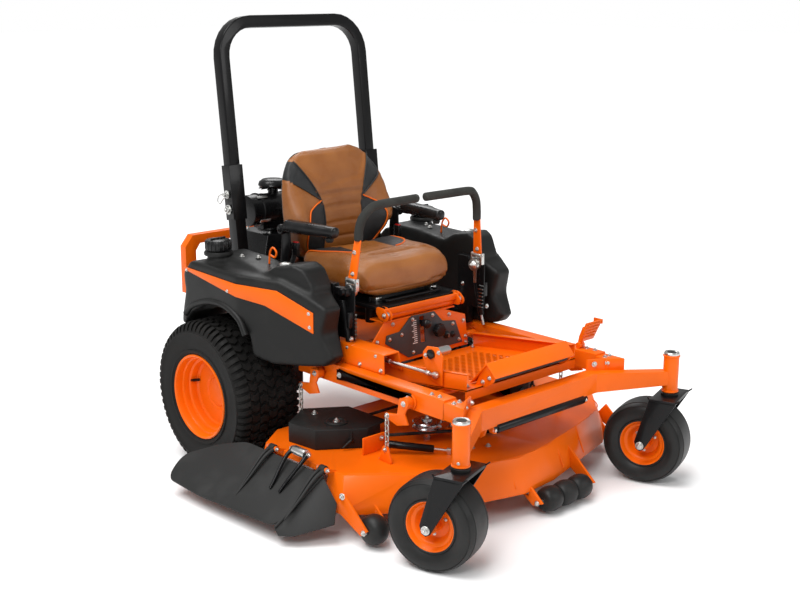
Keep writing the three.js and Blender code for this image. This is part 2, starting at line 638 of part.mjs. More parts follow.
/** A caster rim with its hub. */
function casterRim() {
  const r = CASTER.rimR - 8 - GAP;
  const h = CASTER.rimHalf - 12;
  return turned('x', [[11, -66], [24, -66], [24, -14], [62, -10], [r - 5, -h], [r, -h], [r, h],
      [r - 5, h], [62, 10],
    [24, 14], [24, 66], [11, 66]], 20);
}

/** A caster fork about the foot of its stem: shaft, cap,
    crown and two legs. The wheel trails along +Y. */
function casterFork() {
  const axleZ = CASTER.r - STEM.bottom;
  const legs = [-1, 1].map((s) => {
    const x0 = s * 84;
    const x1 = s * 94;
    const leg = hull([x0, x1].flatMap((x) => [[x, -50, -26], [x, 52, -26], [x, 52, -14], [x, -50, -14],
      [x, 58, axleZ + 14], [x, 104, axleZ + 14], [x, 66, axleZ - 14], [x, 96, axleZ - 14],
          [x, 81, axleZ - 22]]));
    return leg;
  });
  return join(
    bar('z', STEM.shaftR, 190, [0, 0, 60], 12),
    bar('z', 27, 6, [0, 0, STEM.top - STEM.bottom + 3 + GAP], 16),
    bar('z', 24, 14, [0, 0, -7 - GAP], 14),
    box(-94, 94, -50, 52, -26, -14),
    ...legs,
    bar('x', 10, 196, [0, CASTER.trail, axleZ], 12),
  );
}

// ---------------------------------------------------------------- assembly

for (const [name, side] of SIDES) {
  add(`rail_${name}`, onSide(frameRail(), side), FINISH.orange);
  add(`lever_stand_${name}`, onSide(leverStand(), side), FINISH.black);
  add(`fuel_tank_${name}`, onSide(fuelTank(), side), FINISH.plastic);
  add(`stripe_panel_${name}`, onSide(stripePanel(), side), FINISH.orange);
  add(`fuel_cap_${name}`, fuelCap(side), FINISH.plastic);
  add(`lever_hub_${name}`, onSide(leverHub(), side), FINISH.steel);
  add(`control_lever_${name}`, onSide(controlLever(), side), FINISH.orange);
  add(`armrest_${name}`, onSide(armrest(), side), FINISH.rubber);
  add(`belt_cover_${name}`, onSide(beltCover(), side).translate([DECK.centre, 0, 0]), FINISH.black);
}
add('engine_deck', engineDeck(), FINISH.orange);
add('front_beam', frontBeam(), FINISH.orange);
add('floor_pan', floorPan(), FINISH.orange);
add('kick_plate', kickPlate(), FINISH.orange);
add('console_panel', consolePanel(), FINISH.orange);
add('control_plate', controlPlate(), FINISH.grey);
add('link_housing', linkHousing(), FINISH.orange);
add('engine_block', engineBlock(), FINISH.cast);
add('engine_shroud', engineShroud(), FINISH.black);
add('air_filter', airFilter(), FINISH.plastic);
add('rear_bumper', rearBumper(), FINISH.orange);
add('seat_platform', seatPlatform(), FINISH.black);
add('seat_cushion', seatCushion(), FINISH.vinyl);
add('seat_back', seatBack(), FINISH.vinyl);
add('height_pin', join(bar('y', 9, 60, [2.6, -536, 596], 10), box(-9, 14, -566, -558, 584, 608)),
    FINISH.black);
add('tension_knob', join(bar('y', 24, 26, [81, -576, 554], 20), bar('y', 8, 12, [81, -562.4, 554], 12)),
    FINISH.plastic);
add('lift_rocker', liftRocker(), FINISH.orange);
add('lift_rod', liftRod(), FINISH.steel);
add('lift_pedal', liftPedal(), FINISH.orange);
add('hanger_front', hangerShaft(HANGER.frontY), FINISH.orange);
add('hanger_rear', hangerShaft(HANGER.rearY), FINISH.orange);

const rollBar = new THREE.Group();
rollBar.position.set(0, ROPS.y, ROPS.z);
rollBar.rotation.x = -THREE.MathUtils.degToRad(ROPS.lean);
machine.add(rollBar);
for (const [name, side] of SIDES) add(`rops_post_${name}`, onSide(ropsPost(), side), FINISH.black,
    rollBar);
add('rops_hoop', ropsHoop(), FINISH.black, rollBar);

add('deck_shell', deckShell(), FINISH.orange);
add('chute', chute(), FINISH.rubber);
for (const [name, x, y] of spindlePlaces()) {
  add(`spindle_${name}`, spindle(), FINISH.steel).position.set(x, y, 0);
}
add('front_rollers', frontRollers(), FINISH.rubber).position.set(0, -1238, 58);
for (const [name, side] of SIDES) {
  add(`side_roller_${name}`, sideRoller(),
      FINISH.rubber).position.set(DECK.centre + side * DECK.rollerX, -1015, 66);
}

for (const [name, side] of SIDES) {
  const rear = new THREE.Group();
  rear.position.set(side * WHEEL.x, 0, WHEEL.r);
  rear.rotation.y = side < 0 ? Math.PI : 0;
  machine.add(rear);
  add(`rear_tyre_${name}`, rearTyre(), FINISH.rubber, rear);
  add(`rear_rim_${name}`, rearRim(), FINISH.orange, rear);

  const fork = new THREE.Group();
  fork.position.set(side * CASTER.x, CASTER.y, STEM.bottom);
  fork.rotation.z = -THREE.MathUtils.degToRad(CASTER.swivel);
  machine.add(fork);
  add(`caster_fork_${name}`, casterFork(), FINISH.black, fork);
  for (const [piece, body, finish] of [['tyre', casterTyre(), FINISH.rubber],
      ['rim', casterRim(), FINISH.orange]]) {
    add(`caster_${piece}_${name}`, body, finish, fork).position.set(0, CASTER.trail,
        CASTER.r - STEM.bottom);
  }
}

export default mower;
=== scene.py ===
"""The looks of a zero turn mower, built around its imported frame.

Lengths are millimetres in the machine's own frame: its origin is on the ground under the middle of
the rear axle, -Y is the driving direction, +X is the operator's left and +Z is up.
"""

import json
import logging
import math
from dataclasses import dataclass, field
from enum import Enum
from typing import Callable, Iterable, Sequence

import bmesh
import bpy
from mathutils import Matrix, Vector


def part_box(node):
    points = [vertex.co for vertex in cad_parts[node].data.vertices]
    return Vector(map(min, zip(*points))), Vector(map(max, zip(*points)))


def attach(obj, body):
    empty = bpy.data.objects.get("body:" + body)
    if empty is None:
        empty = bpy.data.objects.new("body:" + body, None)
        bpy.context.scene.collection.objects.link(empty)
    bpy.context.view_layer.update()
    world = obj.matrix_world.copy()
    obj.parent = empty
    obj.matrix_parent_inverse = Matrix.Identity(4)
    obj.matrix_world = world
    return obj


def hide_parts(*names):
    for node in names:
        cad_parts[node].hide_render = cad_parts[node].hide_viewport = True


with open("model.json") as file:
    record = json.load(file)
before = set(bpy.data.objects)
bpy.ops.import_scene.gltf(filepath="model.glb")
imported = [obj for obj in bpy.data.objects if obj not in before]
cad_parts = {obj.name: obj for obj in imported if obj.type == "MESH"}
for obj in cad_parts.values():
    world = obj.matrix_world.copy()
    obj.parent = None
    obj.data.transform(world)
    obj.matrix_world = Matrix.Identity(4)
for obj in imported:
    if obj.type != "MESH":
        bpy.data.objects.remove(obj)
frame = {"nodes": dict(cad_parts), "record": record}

Point = tuple[float, float, float]
Outline = Sequence[tuple[float, float]]

LOG = logging.getLogger("mower")
UP, DOWN, AHEAD = (0, 0, 1), (0, 0, -1), (0, -1, 0)
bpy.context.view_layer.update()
METRES = 0.001


def axle_place() -> Vector:
    """The ground point under the middle of the rear axle, in the row frame."""
    low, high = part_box("rear_tyre_right")[0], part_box("rear_tyre_left")[1]
    return Vector(((low.x + high.x) / 2, (low.y + high.y) / 2, 0))


TO_ROW = Matrix.Translation(axle_place()) @ Matrix.Scale(METRES, 4)
FROM_ROW = TO_ROW.inverted()


class Side(Enum):
    """The operator's right and left, with the sign of X on each."""

    RIGHT = -1
    LEFT = 1

    @property
    def label(self) -> str:
        """The word that a piece's name ends in."""
        return self.name.lower()

    @property
    def out(self) -> Point:
        """The direction out to this side."""
        return self.value, 0, 0

    @property
    def inward(self) -> Point:
        """The direction from this side to the middle."""
        return -self.value, 0, 0

    def x(self, distance: float) -> float:
        """A distance from the middle, out to this side."""
        return self.value * distance

    def span(self, first: float, second: float) -> list[float]:
        """Returns: two distances out to this side, in rising order."""
        return sorted((self.x(first), self.x(second)))

    def line(self, points: Sequence[Point]) -> list[Point]:
        """Returns: points that are given by their distance from the middle."""
        return [(self.x(out), y, z) for out, y, z in points]


class Plane(Enum):
    """The plane that an outline is drawn in; the plate's thickness is along the third axis."""

    XY = ((1, 0, 0), (0, 1, 0), (0, 0, 1))
    YZ = ((0, 1, 0), (0, 0, 1), (1, 0, 0))
    XZ = ((1, 0, 0), (0, 0, 1), (0, 1, 0))


class Slot(Enum):
    """The record's material slots."""

    ORANGE = "orange"
    BLACK = "black_paint"
    PANEL = "grey_panel"
    STEEL = "bright_steel"
    CAST = "cast_alloy"
    PLASTIC = "black_plastic"
    RUBBER = "rubber"
    TYRE = "tyre"
    VINYL = "brown_vinyl"


# ---------------------------------------------------------------- shader maths


class Value:
    """A number on a node's socket, which does arithmetic by adding Math nodes."""

    def __init__(self, shader: "Shader", socket: bpy.types.NodeSocket) -> None:
        """Args:
            shader: the material's nodes.
            socket: the output that carries the number.
        """
        self.shader, self.socket = shader, socket

    def _math(self, operation: str, first: "Value | float", second: "Value | float") -> "Value":
        """Returns: the result of one Math node on two numbers."""
        made = self.shader.node("ShaderNodeMath", {"operation": operation}, {0: first, 1: second})
        return Value(self.shader, made.outputs[0])

    def __add__(self, other: "Value | float") -> "Value":
        """The sum."""
        return self._math("ADD", self, other)

    def __sub__(self, other: "Value | float") -> "Value":
        """The difference."""
        return self._math("SUBTRACT", self, other)

    def __mul__(self, other: "Value | float") -> "Value":
        """The product."""
        return self._math("MULTIPLY", self, other)

    __radd__, __rmul__ = __add__, __mul__

    def between(self, low: float, high: float) -> "Value":
        """Returns: 0 below low and 1 above high, with a smooth climb between them."""
        made = self.shader.node("ShaderNodeMapRange", {"interpolation_type": "SMOOTHSTEP", "clamp": True},
                                {"Value": self, "From Min": low, "From Max": high})
        return Value(self.shader, made.outputs["Result"])


class Shader:
    """The nodes of one material, around one Principled shader."""

    def __init__(self, name: str) -> None:
        """Args:
            name: the material's name.
        """
        self.material = bpy.data.materials.new(name)
        self.material.use_nodes = True
        self.tree = self.material.node_tree
        self.surface = next(n for n in self.tree.nodes if n.type == "BSDF_PRINCIPLED")

    def node(self, kind: str, settings: dict | None = None, inputs: dict | None = None) -> bpy.types.Node:
        """Adds one node.

        Args:
            kind: the node's type.
            settings: its own properties, set first.
            inputs: a value or a link for each socket that is named or numbered.

        Returns:
            The node.
        """
        made = self.tree.nodes.new(kind)
        for key, value in (settings or {}).items():
            setattr(made, key, value)
        for key, value in (inputs or {}).items():
            source = value.socket if isinstance(value, Value) else value
            if isinstance(source, bpy.types.NodeSocket):
                self.tree.links.new(source, made.inputs[key])
            else:
                made.inputs[key].default_value = source
        return made

    def place(self) -> bpy.types.NodeSocket:
        """Returns: the piece's own coordinates, in metres."""
        return self.node("ShaderNodeTexCoord").outputs["Object"]

    def stretched(self, scale: Point) -> bpy.types.NodeSocket:
        """Returns: the piece's coordinates stretched along each axis."""
        return self.node("ShaderNodeMapping", None, {"Vector": self.place(), "Scale": scale}).outputs[0]

    def noise(self, scale: float, detail: float = 3.0, place: bpy.types.NodeSocket | None = None) -> Value:
        """Returns: a soft random field with that many cells in a metre."""
        made = self.node("ShaderNodeTexNoise", None,
                         {"Vector": place or self.place(), "Scale": scale, "Detail": detail})
        return Value(self, made.outputs["Fac"])

    def cells(self, scale: float, feature: str = "DISTANCE_TO_EDGE") -> Value:
        """Returns: the distance field of a cell pattern, as grain has."""
        made = self.node("ShaderNodeTexVoronoi", {"feature": feature},
                         {"Vector": self.place(), "Scale": scale})
        return Value(self, made.outputs["Distance"])

    def mixed(self, share: Value, low: Sequence[float], high: Sequence[float]) -> bpy.types.NodeSocket:
        """Returns: a colour between two, by a share from 0 to 1."""
        made = self.node("ShaderNodeMix", {"data_type": "RGBA"}, {0: share, 6: (*low, 1), 7: (*high, 1)})
        return made.outputs[2]

    def bumped(self, height: Value, strength: float, depth: float) -> None:
        """Args:
            height: the field that stands proud.
            strength: the share of the bump that shows, from 0 to 1.
            depth: the height of a full step, in metres.
        """
        made = self.node(
            "ShaderNodeBump", None, {"Height": height, "Strength": strength, "Distance": depth})
        self.feed("Normal", made.outputs[0])

    def feed(self, name: str, source: "Value | bpy.types.NodeSocket | float | Sequence[float]") -> None:
        """Sets or links one socket of the surface."""
        source = source.socket if isinstance(source, Value) else source
        if isinstance(source, bpy.types.NodeSocket):
            self.tree.links.new(source, self.surface.inputs[name])
        else:
            self.surface.inputs[name].default_value = source


# ---------------------------------------------------------------- finishes


@dataclass(frozen=True)
class Finish:
    """One kind of surface. Colours are linear."""

    name: str
    colour: Point
    roughness: float = 0.5
    shine: float = 0.5

    def paint(self, shader: Shader) -> None:
        """Sets the surface up; each kind of finish has its own way."""
        shader.feed("Base Color", (*self.colour, 1))
        shader.feed("Roughness", self.roughness)

    def material(self) -> bpy.types.Material:
        """Returns: the finish as a material, made once."""
        found = bpy.data.materials.get(self.name)
        if found:
            return found
        shader = Shader(self.name)
        self.paint(shader)
        shader.feed("Specular IOR Level", self.shine)
        return shader.material

    def shade(self, factor: float) -> Point:
        """Returns: the colour made lighter or darker."""
        return tuple(min(1.0, c * factor) for c in self.colour)


@dataclass(frozen=True)
class PowderCoat(Finish):
    """Baked paint on steel: a faint orange peel, slow drifts of tone and a little dust."""

    coat: float = 0.35
    peel: float = 0.10
    dust: Point = (0.42, 0.36, 0.30)
    dust_share: float = 0.05

    def paint(self, shader: Shader) -> None:
        """Sets up the paint."""
        drift = shader.noise(2.3, 4).between(0.35, 0.68)
        speck = shader.noise(70, 6).between(0.62, 0.80) * self.dust_share
        tone = shader.mixed(drift, self.shade(0.90), self.shade(1.06))
        dusty = shader.node("ShaderNodeMix", {"data_type": "RGBA"}, {0: speck, 6: tone, 7: (*self.dust, 1)})
        shader.feed("Base Color", dusty.outputs[2])
        shader.feed("Roughness", shader.noise(14, 5) * 0.16 + (self.roughness - 0.08) + speck)
        shader.feed("Coat Weight", self.coat)
        shader.feed("Coat Roughness", 0.12)
        shader.bumped(shader.noise(420, 2), self.peel, 0.0004)


@dataclass(frozen=True)
class Moulding(Finish):
    """Moulded plastic or cast skin with a fine pebble grain and light scuffs."""

    grain: float = 0.25
    scale: float = 900.0

    def paint(self, shader: Shader) -> None:
        """Sets up the moulding."""
        scuff = shader.noise(9, 7).between(0.45, 0.75)
        shader.feed("Base Color", shader.mixed(scuff, self.shade(0.85), self.shade(1.35)))
        shader.feed("Roughness", scuff * 0.14 + (self.roughness - 0.05))
        shader.bumped(shader.cells(self.scale, "F1") * 0.6 + shader.noise(self.scale * 1.7, 2) * 0.4,
                      self.grain, 0.0006)


@dataclass(frozen=True)
class Rubber(Finish):
    """Vulcanised rubber with a dusty bloom in its hollows."""

    bloom: Point = (0.055, 0.052, 0.048)
    grain: float = 0.3

    def paint(self, shader: Shader) -> None:
        """Sets up the rubber."""
        bloom = shader.noise(11, 8).between(0.42, 0.74)
        shader.feed("Base Color", shader.mixed(bloom, self.colour, self.bloom))
        shader.feed("Roughness", bloom * 0.2 + (self.roughness - 0.1))
        shader.bumped(shader.noise(260, 5), self.grain, 0.0008)


@dataclass(frozen=True)
class Plated(Finish):
    """Plated or bare metal with fine drawn streaks."""

    metal: float = 1.0
    streak: Point = (40.0, 40.0, 400.0)

    def paint(self, shader: Shader) -> None:
        """Sets up the metal."""
        streak = shader.noise(3, 4, shader.stretched(self.streak))
        shader.feed("Base Color", shader.mixed(shader.noise(30, 4), self.shade(0.8), self.shade(1.1)))
        shader.feed("Metallic", self.metal)
        shader.feed("Roughness", streak * 0.25 + (self.roughness - 0.1))
        shader.bumped(streak, 0.08, 0.0003)


@dataclass(frozen=True)
class Hide(Finish):
    """Soft vinyl with a pebbled grain, creases and worn, lighter high places."""

    worn: Point = (0.48, 0.22, 0.08)
    grain: float = 0.45

    def paint(self, shader: Shader) -> None:
        """Sets up the vinyl."""
        wear = shader.noise(7, 6).between(0.40, 0.72)
        grain = shader.cells(520).between(0.0, 0.22)
        crease = shader.noise(26, 3, shader.stretched((1.0, 1.0, 2.6))).between(0.30, 0.62)
        shader.feed("Base Color", shader.mixed(wear, self.colour, self.worn))
        shader.feed("Roughness", wear * 0.12 + (self.roughness - 0.04) - grain * 0.05)
        shader.feed("Coat Weight", 0.12)
        shader.feed("Coat Roughness", 0.35)
        shader.bumped(grain * 0.35 + crease * 0.65, self.grain, 0.0014)


@dataclass(frozen=True)
class Ink(Finish):
    """A flat printed mark."""


ORANGE = PowderCoat("orange powder coat", (0.84, 0.130, 0.0015), 0.36, 0.20, 0.07, 0.05,
                    (0.42, 0.30, 0.20), 0.04)
BLACK = PowderCoat("black powder coat", (0.0052, 0.0052, 0.0056), 0.30, 0.15, 0.12, 0.05,
                   (0.04, 0.04, 0.04), 0.02)
PANEL = PowderCoat("grey panel film", (0.050, 0.053, 0.056), 0.45, 0.25, 0.05, 0.05, (0.2, 0.2, 0.2), 0.03)
PLASTIC = Moulding("black moulded plastic", (0.0105, 0.0106, 0.0102), 0.50, 0.24, 0.22)
SATIN = Moulding("smooth black plastic", (0.0066, 0.0066, 0.0070), 0.32, 0.30, 0.06)
CHUTE_RUBBER = Moulding("moulded chute rubber", (0.021, 0.021, 0.0205), 0.60, 0.25, 0.2, 700)
FOAM = Moulding("foam grip", (0.034, 0.034, 0.031), 0.85, 0.20, 0.5, 620)
CASTING = Moulding("painted casting", (0.014, 0.0145, 0.0155), 0.46, 0.35, 0.6, 380)
TYRE = Rubber("tyre rubber", (0.0070, 0.0066, 0.0062), 0.70, 0.16, (0.016, 0.015, 0.014))
RUBBER = Rubber("roller rubber", (0.0105, 0.0106, 0.0102), 0.52, 0.28, (0.018, 0.018, 0.0175), 0.12)
BELT = Rubber("belt", (0.008, 0.008, 0.008), 0.7, 0.2)
ZINC = Plated("zinc plate", (0.62, 0.62, 0.60), 0.30)
CHAIN_STEEL = Plated("chain steel", (0.55, 0.54, 0.50), 0.28, 0.5, 1.0, (120.0, 120.0, 120.0))
BARE_STEEL = Plated("machined steel", (0.50, 0.51, 0.52), 0.22)
TAN = Hide("tan vinyl", (0.255, 0.083, 0.0135), 0.36, 0.42, (0.34, 0.122, 0.026))
CHARCOAL = Hide("charcoal vinyl", (0.0155, 0.0165, 0.0172), 0.50, 0.28, (0.030, 0.031, 0.032), 0.5)
PIPING = Hide("orange piping", (0.80, 0.125, 0.003), 0.45, 0.3, (0.85, 0.16, 0.01), 0.1)
WHITE_INK = Ink("white ink", (0.72, 0.72, 0.70), 0.5)
RED_GLASS = Ink("red lens", (0.45, 0.012, 0.008), 0.2)
FLOOR = Ink("studio floor", (0.90, 0.90, 0.90), 0.8, 0.0)


# ---------------------------------------------------------------- shapes


class Shape:
    """A closed shape worked in bmesh, in the machine's millimetres."""

    def __init__(self) -> None:
        """Starts with nothing."""
        self.bm = bmesh.new()

    @classmethod
    def box(cls, x0: float, x1: float, y0: float, y1: float, z0: float, z1: float) -> "Shape":
        """Returns: a box from its lowest to its highest corner."""
        shape = cls()
        middle = Matrix.Translation(((x0 + x1) / 2, (y0 + y1) / 2, (z0 + z1) / 2))
        bmesh.ops.create_cube(
            shape.bm, size=1, matrix=middle @ Matrix.Diagonal((x1 - x0, y1 - y0, z1 - z0, 1)))
        return shape

    @classmethod
    def rod(cls, start: Point, end: Point, radius: float, sides: int = 24,
            end_radius: float | None = None) -> "Shape":
        """Returns: a round bar between two points, which may taper."""
        shape = cls()
        a, b = Vector(start), Vector(end)
        turn = (b - a).to_track_quat("Z", "Y").to_matrix().to_4x4()
        bmesh.ops.create_cone(shape.bm, cap_ends=True, segments=sides, radius1=radius,
                              radius2=radius if end_radius is None else end_radius, depth=(b - a).length,
                              matrix=Matrix.Translation((a + b) / 2) @ turn)
        return shape

    @classmethod
    def plate(cls, plane: Plane, outline: Outline, low: float, high: float) -> "Shape":
        """Returns: a flat plate of that outline, from low to high along the plane's third axis."""
        shape = cls()
        u, v, w = (Vector(a) for a in plane.value)
        face = shape.bm.faces.new([shape.bm.verts.new(u * p + v * q + w * low) for p, q in outline])
        grown = bmesh.ops.extrude_face_region(shape.bm, geom=[face])["geom"]
        bmesh.ops.translate(
            shape.bm, vec=w * (high - low), verts=[g for g in grown if isinstance(g, bmesh.types.BMVert)])
        shape.closed()
        return shape

    @classmethod
    def turned(cls, centre: Point, axis: Point, profile: Outline, steps: int = 64) -> "Shape":
        """A turned shape.

        Args:
            centre: the point that the profile is measured from.
            axis: the direction that it turns about.
            profile: (radius, place along the axis) of each point of the section, which closes on itself
                unless it starts and ends on the axis.
            steps: the number of flats round it.

        Returns:
            The shape.
        """
        shape = cls()
        turn = Vector(axis).to_track_quat("Z", "Y").to_matrix().to_4x4()
        points = [shape.bm.verts.new((radius, 0, along)) for radius, along in profile]
        edges = [shape.bm.edges.new(pair) for pair in zip(points, points[1:])]
        if profile[0][0] > 1e-6:
            edges.append(shape.bm.edges.new((points[-1], points[0])))
        bmesh.ops.spin(shape.bm, geom=[*points, *edges], cent=(0, 0, 0), axis=UP,
                       angle=math.tau, steps=steps, use_merge=True)
        bmesh.ops.transform(shape.bm, matrix=Matrix.Translation(centre) @ turn, verts=shape.bm.verts)
        shape.closed()
        return shape

    @classmethod
    def swept(cls, path: Sequence[Point], radius: float | Sequence[float], sides: int = 16) -> "Shape":
        """Returns: a round bar bent along a list of points; radius may differ at each."""
        shape = cls()
        points = [Vector(p) for p in path]
        radii = [radius] * len(points) if isinstance(radius, (int, float)) else list(radius)
        bmesh.ops.create_circle(shape.bm, segments=sides, radius=1, cap_ends=True)
        end = shape.bm.faces[:][0]
        spokes = {vert: vert.co.copy() for vert in end.verts}
        ways = [(b - a).normalized() for a, b in zip(points, points[1:])]
        turn = ways[0].to_track_quat("Z", "Y")
        for i, point in enumerate(points):
            if i:
                grown = bmesh.ops.extrude_face_region(shape.bm, geom=[end])["geom"]
                end = next(g for g in grown if isinstance(g, bmesh.types.BMFace))
                spokes = {vert: spokes[min(spokes, key=lambda old: (old.co - vert.co).length_squared)]
                          for vert in end.verts}
            way = (ways[max(i - 1, 0)] + ways[min(i, len(ways) - 1)]).normalized()
            turn = (turn @ Vector(UP)).rotation_difference(way) @ turn
            for vert, spoke in spokes.items():
                vert.co = point + turn @ (spoke * radii[i])
        shape.closed()
        return shape

    @classmethod
    def of_node(cls, node: str) -> "Shape":
        """Returns: a CAD node's shape, with its doubles merged and its flat faces made whole."""
        shape = cls()
        shape.bm.from_mesh(frame["nodes"][node].data)
        bmesh.ops.transform(shape.bm, matrix=FROM_ROW, verts=shape.bm.verts)
        bmesh.ops.remove_doubles(shape.bm, verts=shape.bm.verts, dist=0.02)
        bmesh.ops.dissolve_limit(shape.bm, angle_limit=math.radians(0.6), verts=shape.bm.verts,
                                 edges=shape.bm.edges)
        return shape

    def closed(self) -> "Shape":
        """Merges doubles and turns the faces outwards."""
        bmesh.ops.remove_doubles(self.bm, verts=self.bm.verts, dist=0.001)
        bmesh.ops.recalc_face_normals(self.bm, faces=self.bm.faces)
        return self

    def bevelled(self, width: float, segments: int = 2, sharper_than: float = 30) -> "Shape":
        """Rounds the edges whose faces turn by more than an angle in degrees."""
        limit = math.radians(sharper_than)
        edges = [e for e in self.bm.edges if len(e.link_faces) == 2 and e.calc_face_angle(0) > limit]
        if edges:
            bmesh.ops.bevel(self.bm, geom=edges, offset=width, offset_type="OFFSET", segments=segments,
                            profile=0.5, affect="EDGES", clamp_overlap=True, material=-1)
        return self

    def moved(self, by: Matrix | Point) -> "Shape":
        """Moves the shape by a matrix or a distance."""
        matrix = by if isinstance(by, Matrix) else Matrix.Translation(by)
        bmesh.ops.transform(self.bm, matrix=matrix, verts=self.bm.verts)
        if matrix.is_negative:
            bmesh.ops.reverse_faces(self.bm, faces=self.bm.faces)
        return self

    def mapped(self, rule: Callable[[Vector], Vector]) -> "Shape":
        """Moves each point by a rule."""
        for vert in self.bm.verts:
            vert.co = rule(vert.co)
        return self

    def softened(self, cell: float, rounds: int) -> "Shape":
        """Turns the shape into one soft moulding.

        Args:
            cell: the size of the new, even faces.
            rounds: how often its points are evened out; more rounds make rounder corners.

        Returns:
            The shape.
        """
        blank = bpy.data.meshes.new("blank")
        self.bm.to_mesh(blank)
        carrier = bpy.data.objects.new("blank", blank)
        bpy.context.scene.collection.objects.link(carrier)
        remesh = carrier.modifiers.new("even", "REMESH")
        remesh.mode, remesh.voxel_size = "VOXEL", cell
        made = carrier.evaluated_get(bpy.context.evaluated_depsgraph_get()).to_mesh()
        self.bm.clear()
        self.bm.from_mesh(made)
        bpy.data.objects.remove(carrier)
        bpy.data.meshes.remove(blank)
        for _ in range(rounds):
            bmesh.ops.smooth_vert(self.bm, verts=self.bm.verts, factor=0.5, use_axis_x=True,
                                  use_axis_y=True, use_axis_z=True)
        return self


def arc(centre: tuple[float, float], radius: float, start: float, end: float,
        steps: int) -> list[tuple[float, float]]:
    """Returns: points of a flat arc, between two angles in degrees."""
    angles = [math.radians(start + (end - start) * i / steps) for i in range(steps + 1)]
    return [(centre[0] + radius * math.cos(a), centre[1] + radius * math.sin(a)) for a in angles]


def rounded(corners: Outline, radius: float, steps: int = 4) -> list[tuple[float, float]]:
    """Returns: an outline with each corner cut to a soft curve of about that radius."""
    made = []
    for i, corner in enumerate(corners):
        here = Vector(corner)
        before, after = Vector(corners[i - 1]), Vector(corners[(i + 1) % len(corners)])
        back = here + (before - here).normalized() * min(radius, (before - here).length * 0.45)
        on = here + (after - here).normalized() * min(radius, (after - here).length * 0.45)
        for k in range(steps + 1):
            t = k / steps
            made.append(tuple(back * (1 - t) ** 2 + here * 2 * t * (1 - t) + on * t ** 2))
    return made


def curve_through(points: Sequence[Point], steps: int = 6) -> list[Point]:
    """Returns: a smooth line through a few points."""
    knots = [Vector(p) for p in points]
    knots = [knots[0] * 2 - knots[1], *knots, knots[-1] * 2 - knots[-2]]
    made = []
    for a, b, c, d in zip(knots, knots[1:], knots[2:], knots[3:]):
        for k in range(steps):
            t = k / steps
            made.append(0.5 * (2 * b + (c - a) * t + (2 * a - 5 * b + 4 * c - d) * t ** 2
                               + (3 * b - a - 3 * c + d) * t ** 3))
    return [tuple(p) for p in [*made, knots[-2]]]


class Part:
    """A named piece of the machine: shapes of one or more finishes in one mesh."""

    def __init__(self, name: str, body: str, slot: Slot, stands_for: Sequence[str] = ()) -> None:
        """Args:
            name: the piece's name.
            body: the CAD body that it rides on.
            slot: the record's material slot; it is kept with the piece but not used.
            stands_for: the CAD nodes that it is shown in place of.
        """
        self.name, self.body, self.slot, self.stands_for = name, body, slot, stands_for
        self.bm = bmesh.new()
        self.finishes: list[Finish] = []

    def add(self, shape: Shape, finish: Finish,
            *regions: tuple[Callable[[Vector], bool], Finish]) -> "Part":
        """Joins a shape to the piece, and uses it up.

        Args:
            shape: the shape, in millimetres.
            finish: the surface of its faces.
            regions: other surfaces, each with a test of the faces' middles that have it.

        Returns:
            The piece.
        """
        for one in (finish, *(other for _, other in regions)):
            if one not in self.finishes:
                self.finishes.append(one)
        for face in shape.bm.faces:
            middle = face.calc_center_median()
            chosen = next((other for test, other in regions if test(middle)), finish)
            face.material_index = self.finishes.index(chosen)
        carrier = bpy.data.meshes.new("carrier")
        shape.bm.to_mesh(carrier)
        shape.bm.free()
        self.bm.from_mesh(carrier)
        bpy.data.meshes.remove(carrier)
        return self

    def bolts(self, places: Iterable[tuple[Point, Point]], radius: float = 8,
              finish: Finish | None = None) -> "Part":
        """Adds hexagon bolt heads, each on its washer.

        Args:
            places: the seat and the direction of each.
            radius: half the head's width over its corners.
            finish: the surface; zinc plate if it isn't given.

        Returns:
            The piece.
        """
        for seat, way in places:
            start, out = Vector(seat), Vector(way).normalized()
            self.add(Shape.rod(start, start + out * radius * 0.2, radius * 1.35,
                               18).bevelled(radius * 0.05, 1), finish or ZINC)
            self.add(Shape.rod(start, start + out * radius * 0.9, radius, 6).bevelled(radius * 0.14),
                     finish or ZINC)
            self.add(Shape.rod(start, start + out * radius * 1.3, radius * 0.5,
                               10).bevelled(radius * 0.1, 1), finish or ZINC)
        return self

    def absorb(self, other: "Part") -> "Part":
        """Takes over everything that another piece holds, with its finishes."""
        for finish in other.finishes:
            if finish not in self.finishes:
                self.finishes.append(finish)
        for face in other.bm.faces:
            face.material_index = self.finishes.index(other.finishes[face.material_index])
        carrier = bpy.data.meshes.new("carrier")
        other.bm.to_mesh(carrier)
        other.bm.free()
        self.bm.from_mesh(carrier)
        bpy.data.meshes.remove(carrier)
        return self

    def place(self, crease: float = 38) -> bpy.types.Object:
        """Lays the piece down in the row frame.

        Args:
            crease: the turn, in degrees, past which an edge is shown sharp.

        Returns:
            The piece's object.
        """
        bmesh.ops.transform(self.bm, matrix=TO_ROW, verts=self.bm.verts)
        mesh = bpy.data.meshes.new(self.name)
        self.bm.to_mesh(mesh)
        self.bm.free()
        mesh.polygons.foreach_set("use_smooth", [True] * len(mesh.polygons))
        mesh.set_sharp_from_angle(angle=math.radians(crease))
        for finish in self.finishes:
            mesh.materials.append(finish.material())
        piece = bpy.data.objects.new(self.name, mesh)
        bpy.context.scene.collection.objects.link(piece)
        return self.settle(piece)

    def settle(self, piece: bpy.types.Object) -> bpy.types.Object:
        """Hangs the piece on its body's empty, hides the CAD nodes that it stands for, and reports it."""
        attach(piece, self.body)
        if self.stands_for:
            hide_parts(*self.stands_for)
        LOG.info("%s rides on %s, %d faces", piece.name, self.body, len(piece.data.polygons))
        return piece


def body_of(node: str) -> str:
    """Returns: the name of the body that a CAD node belongs to."""
    return next(b for b, members in frame["record"]["behaviour"]["bodies"].items() if node in members)


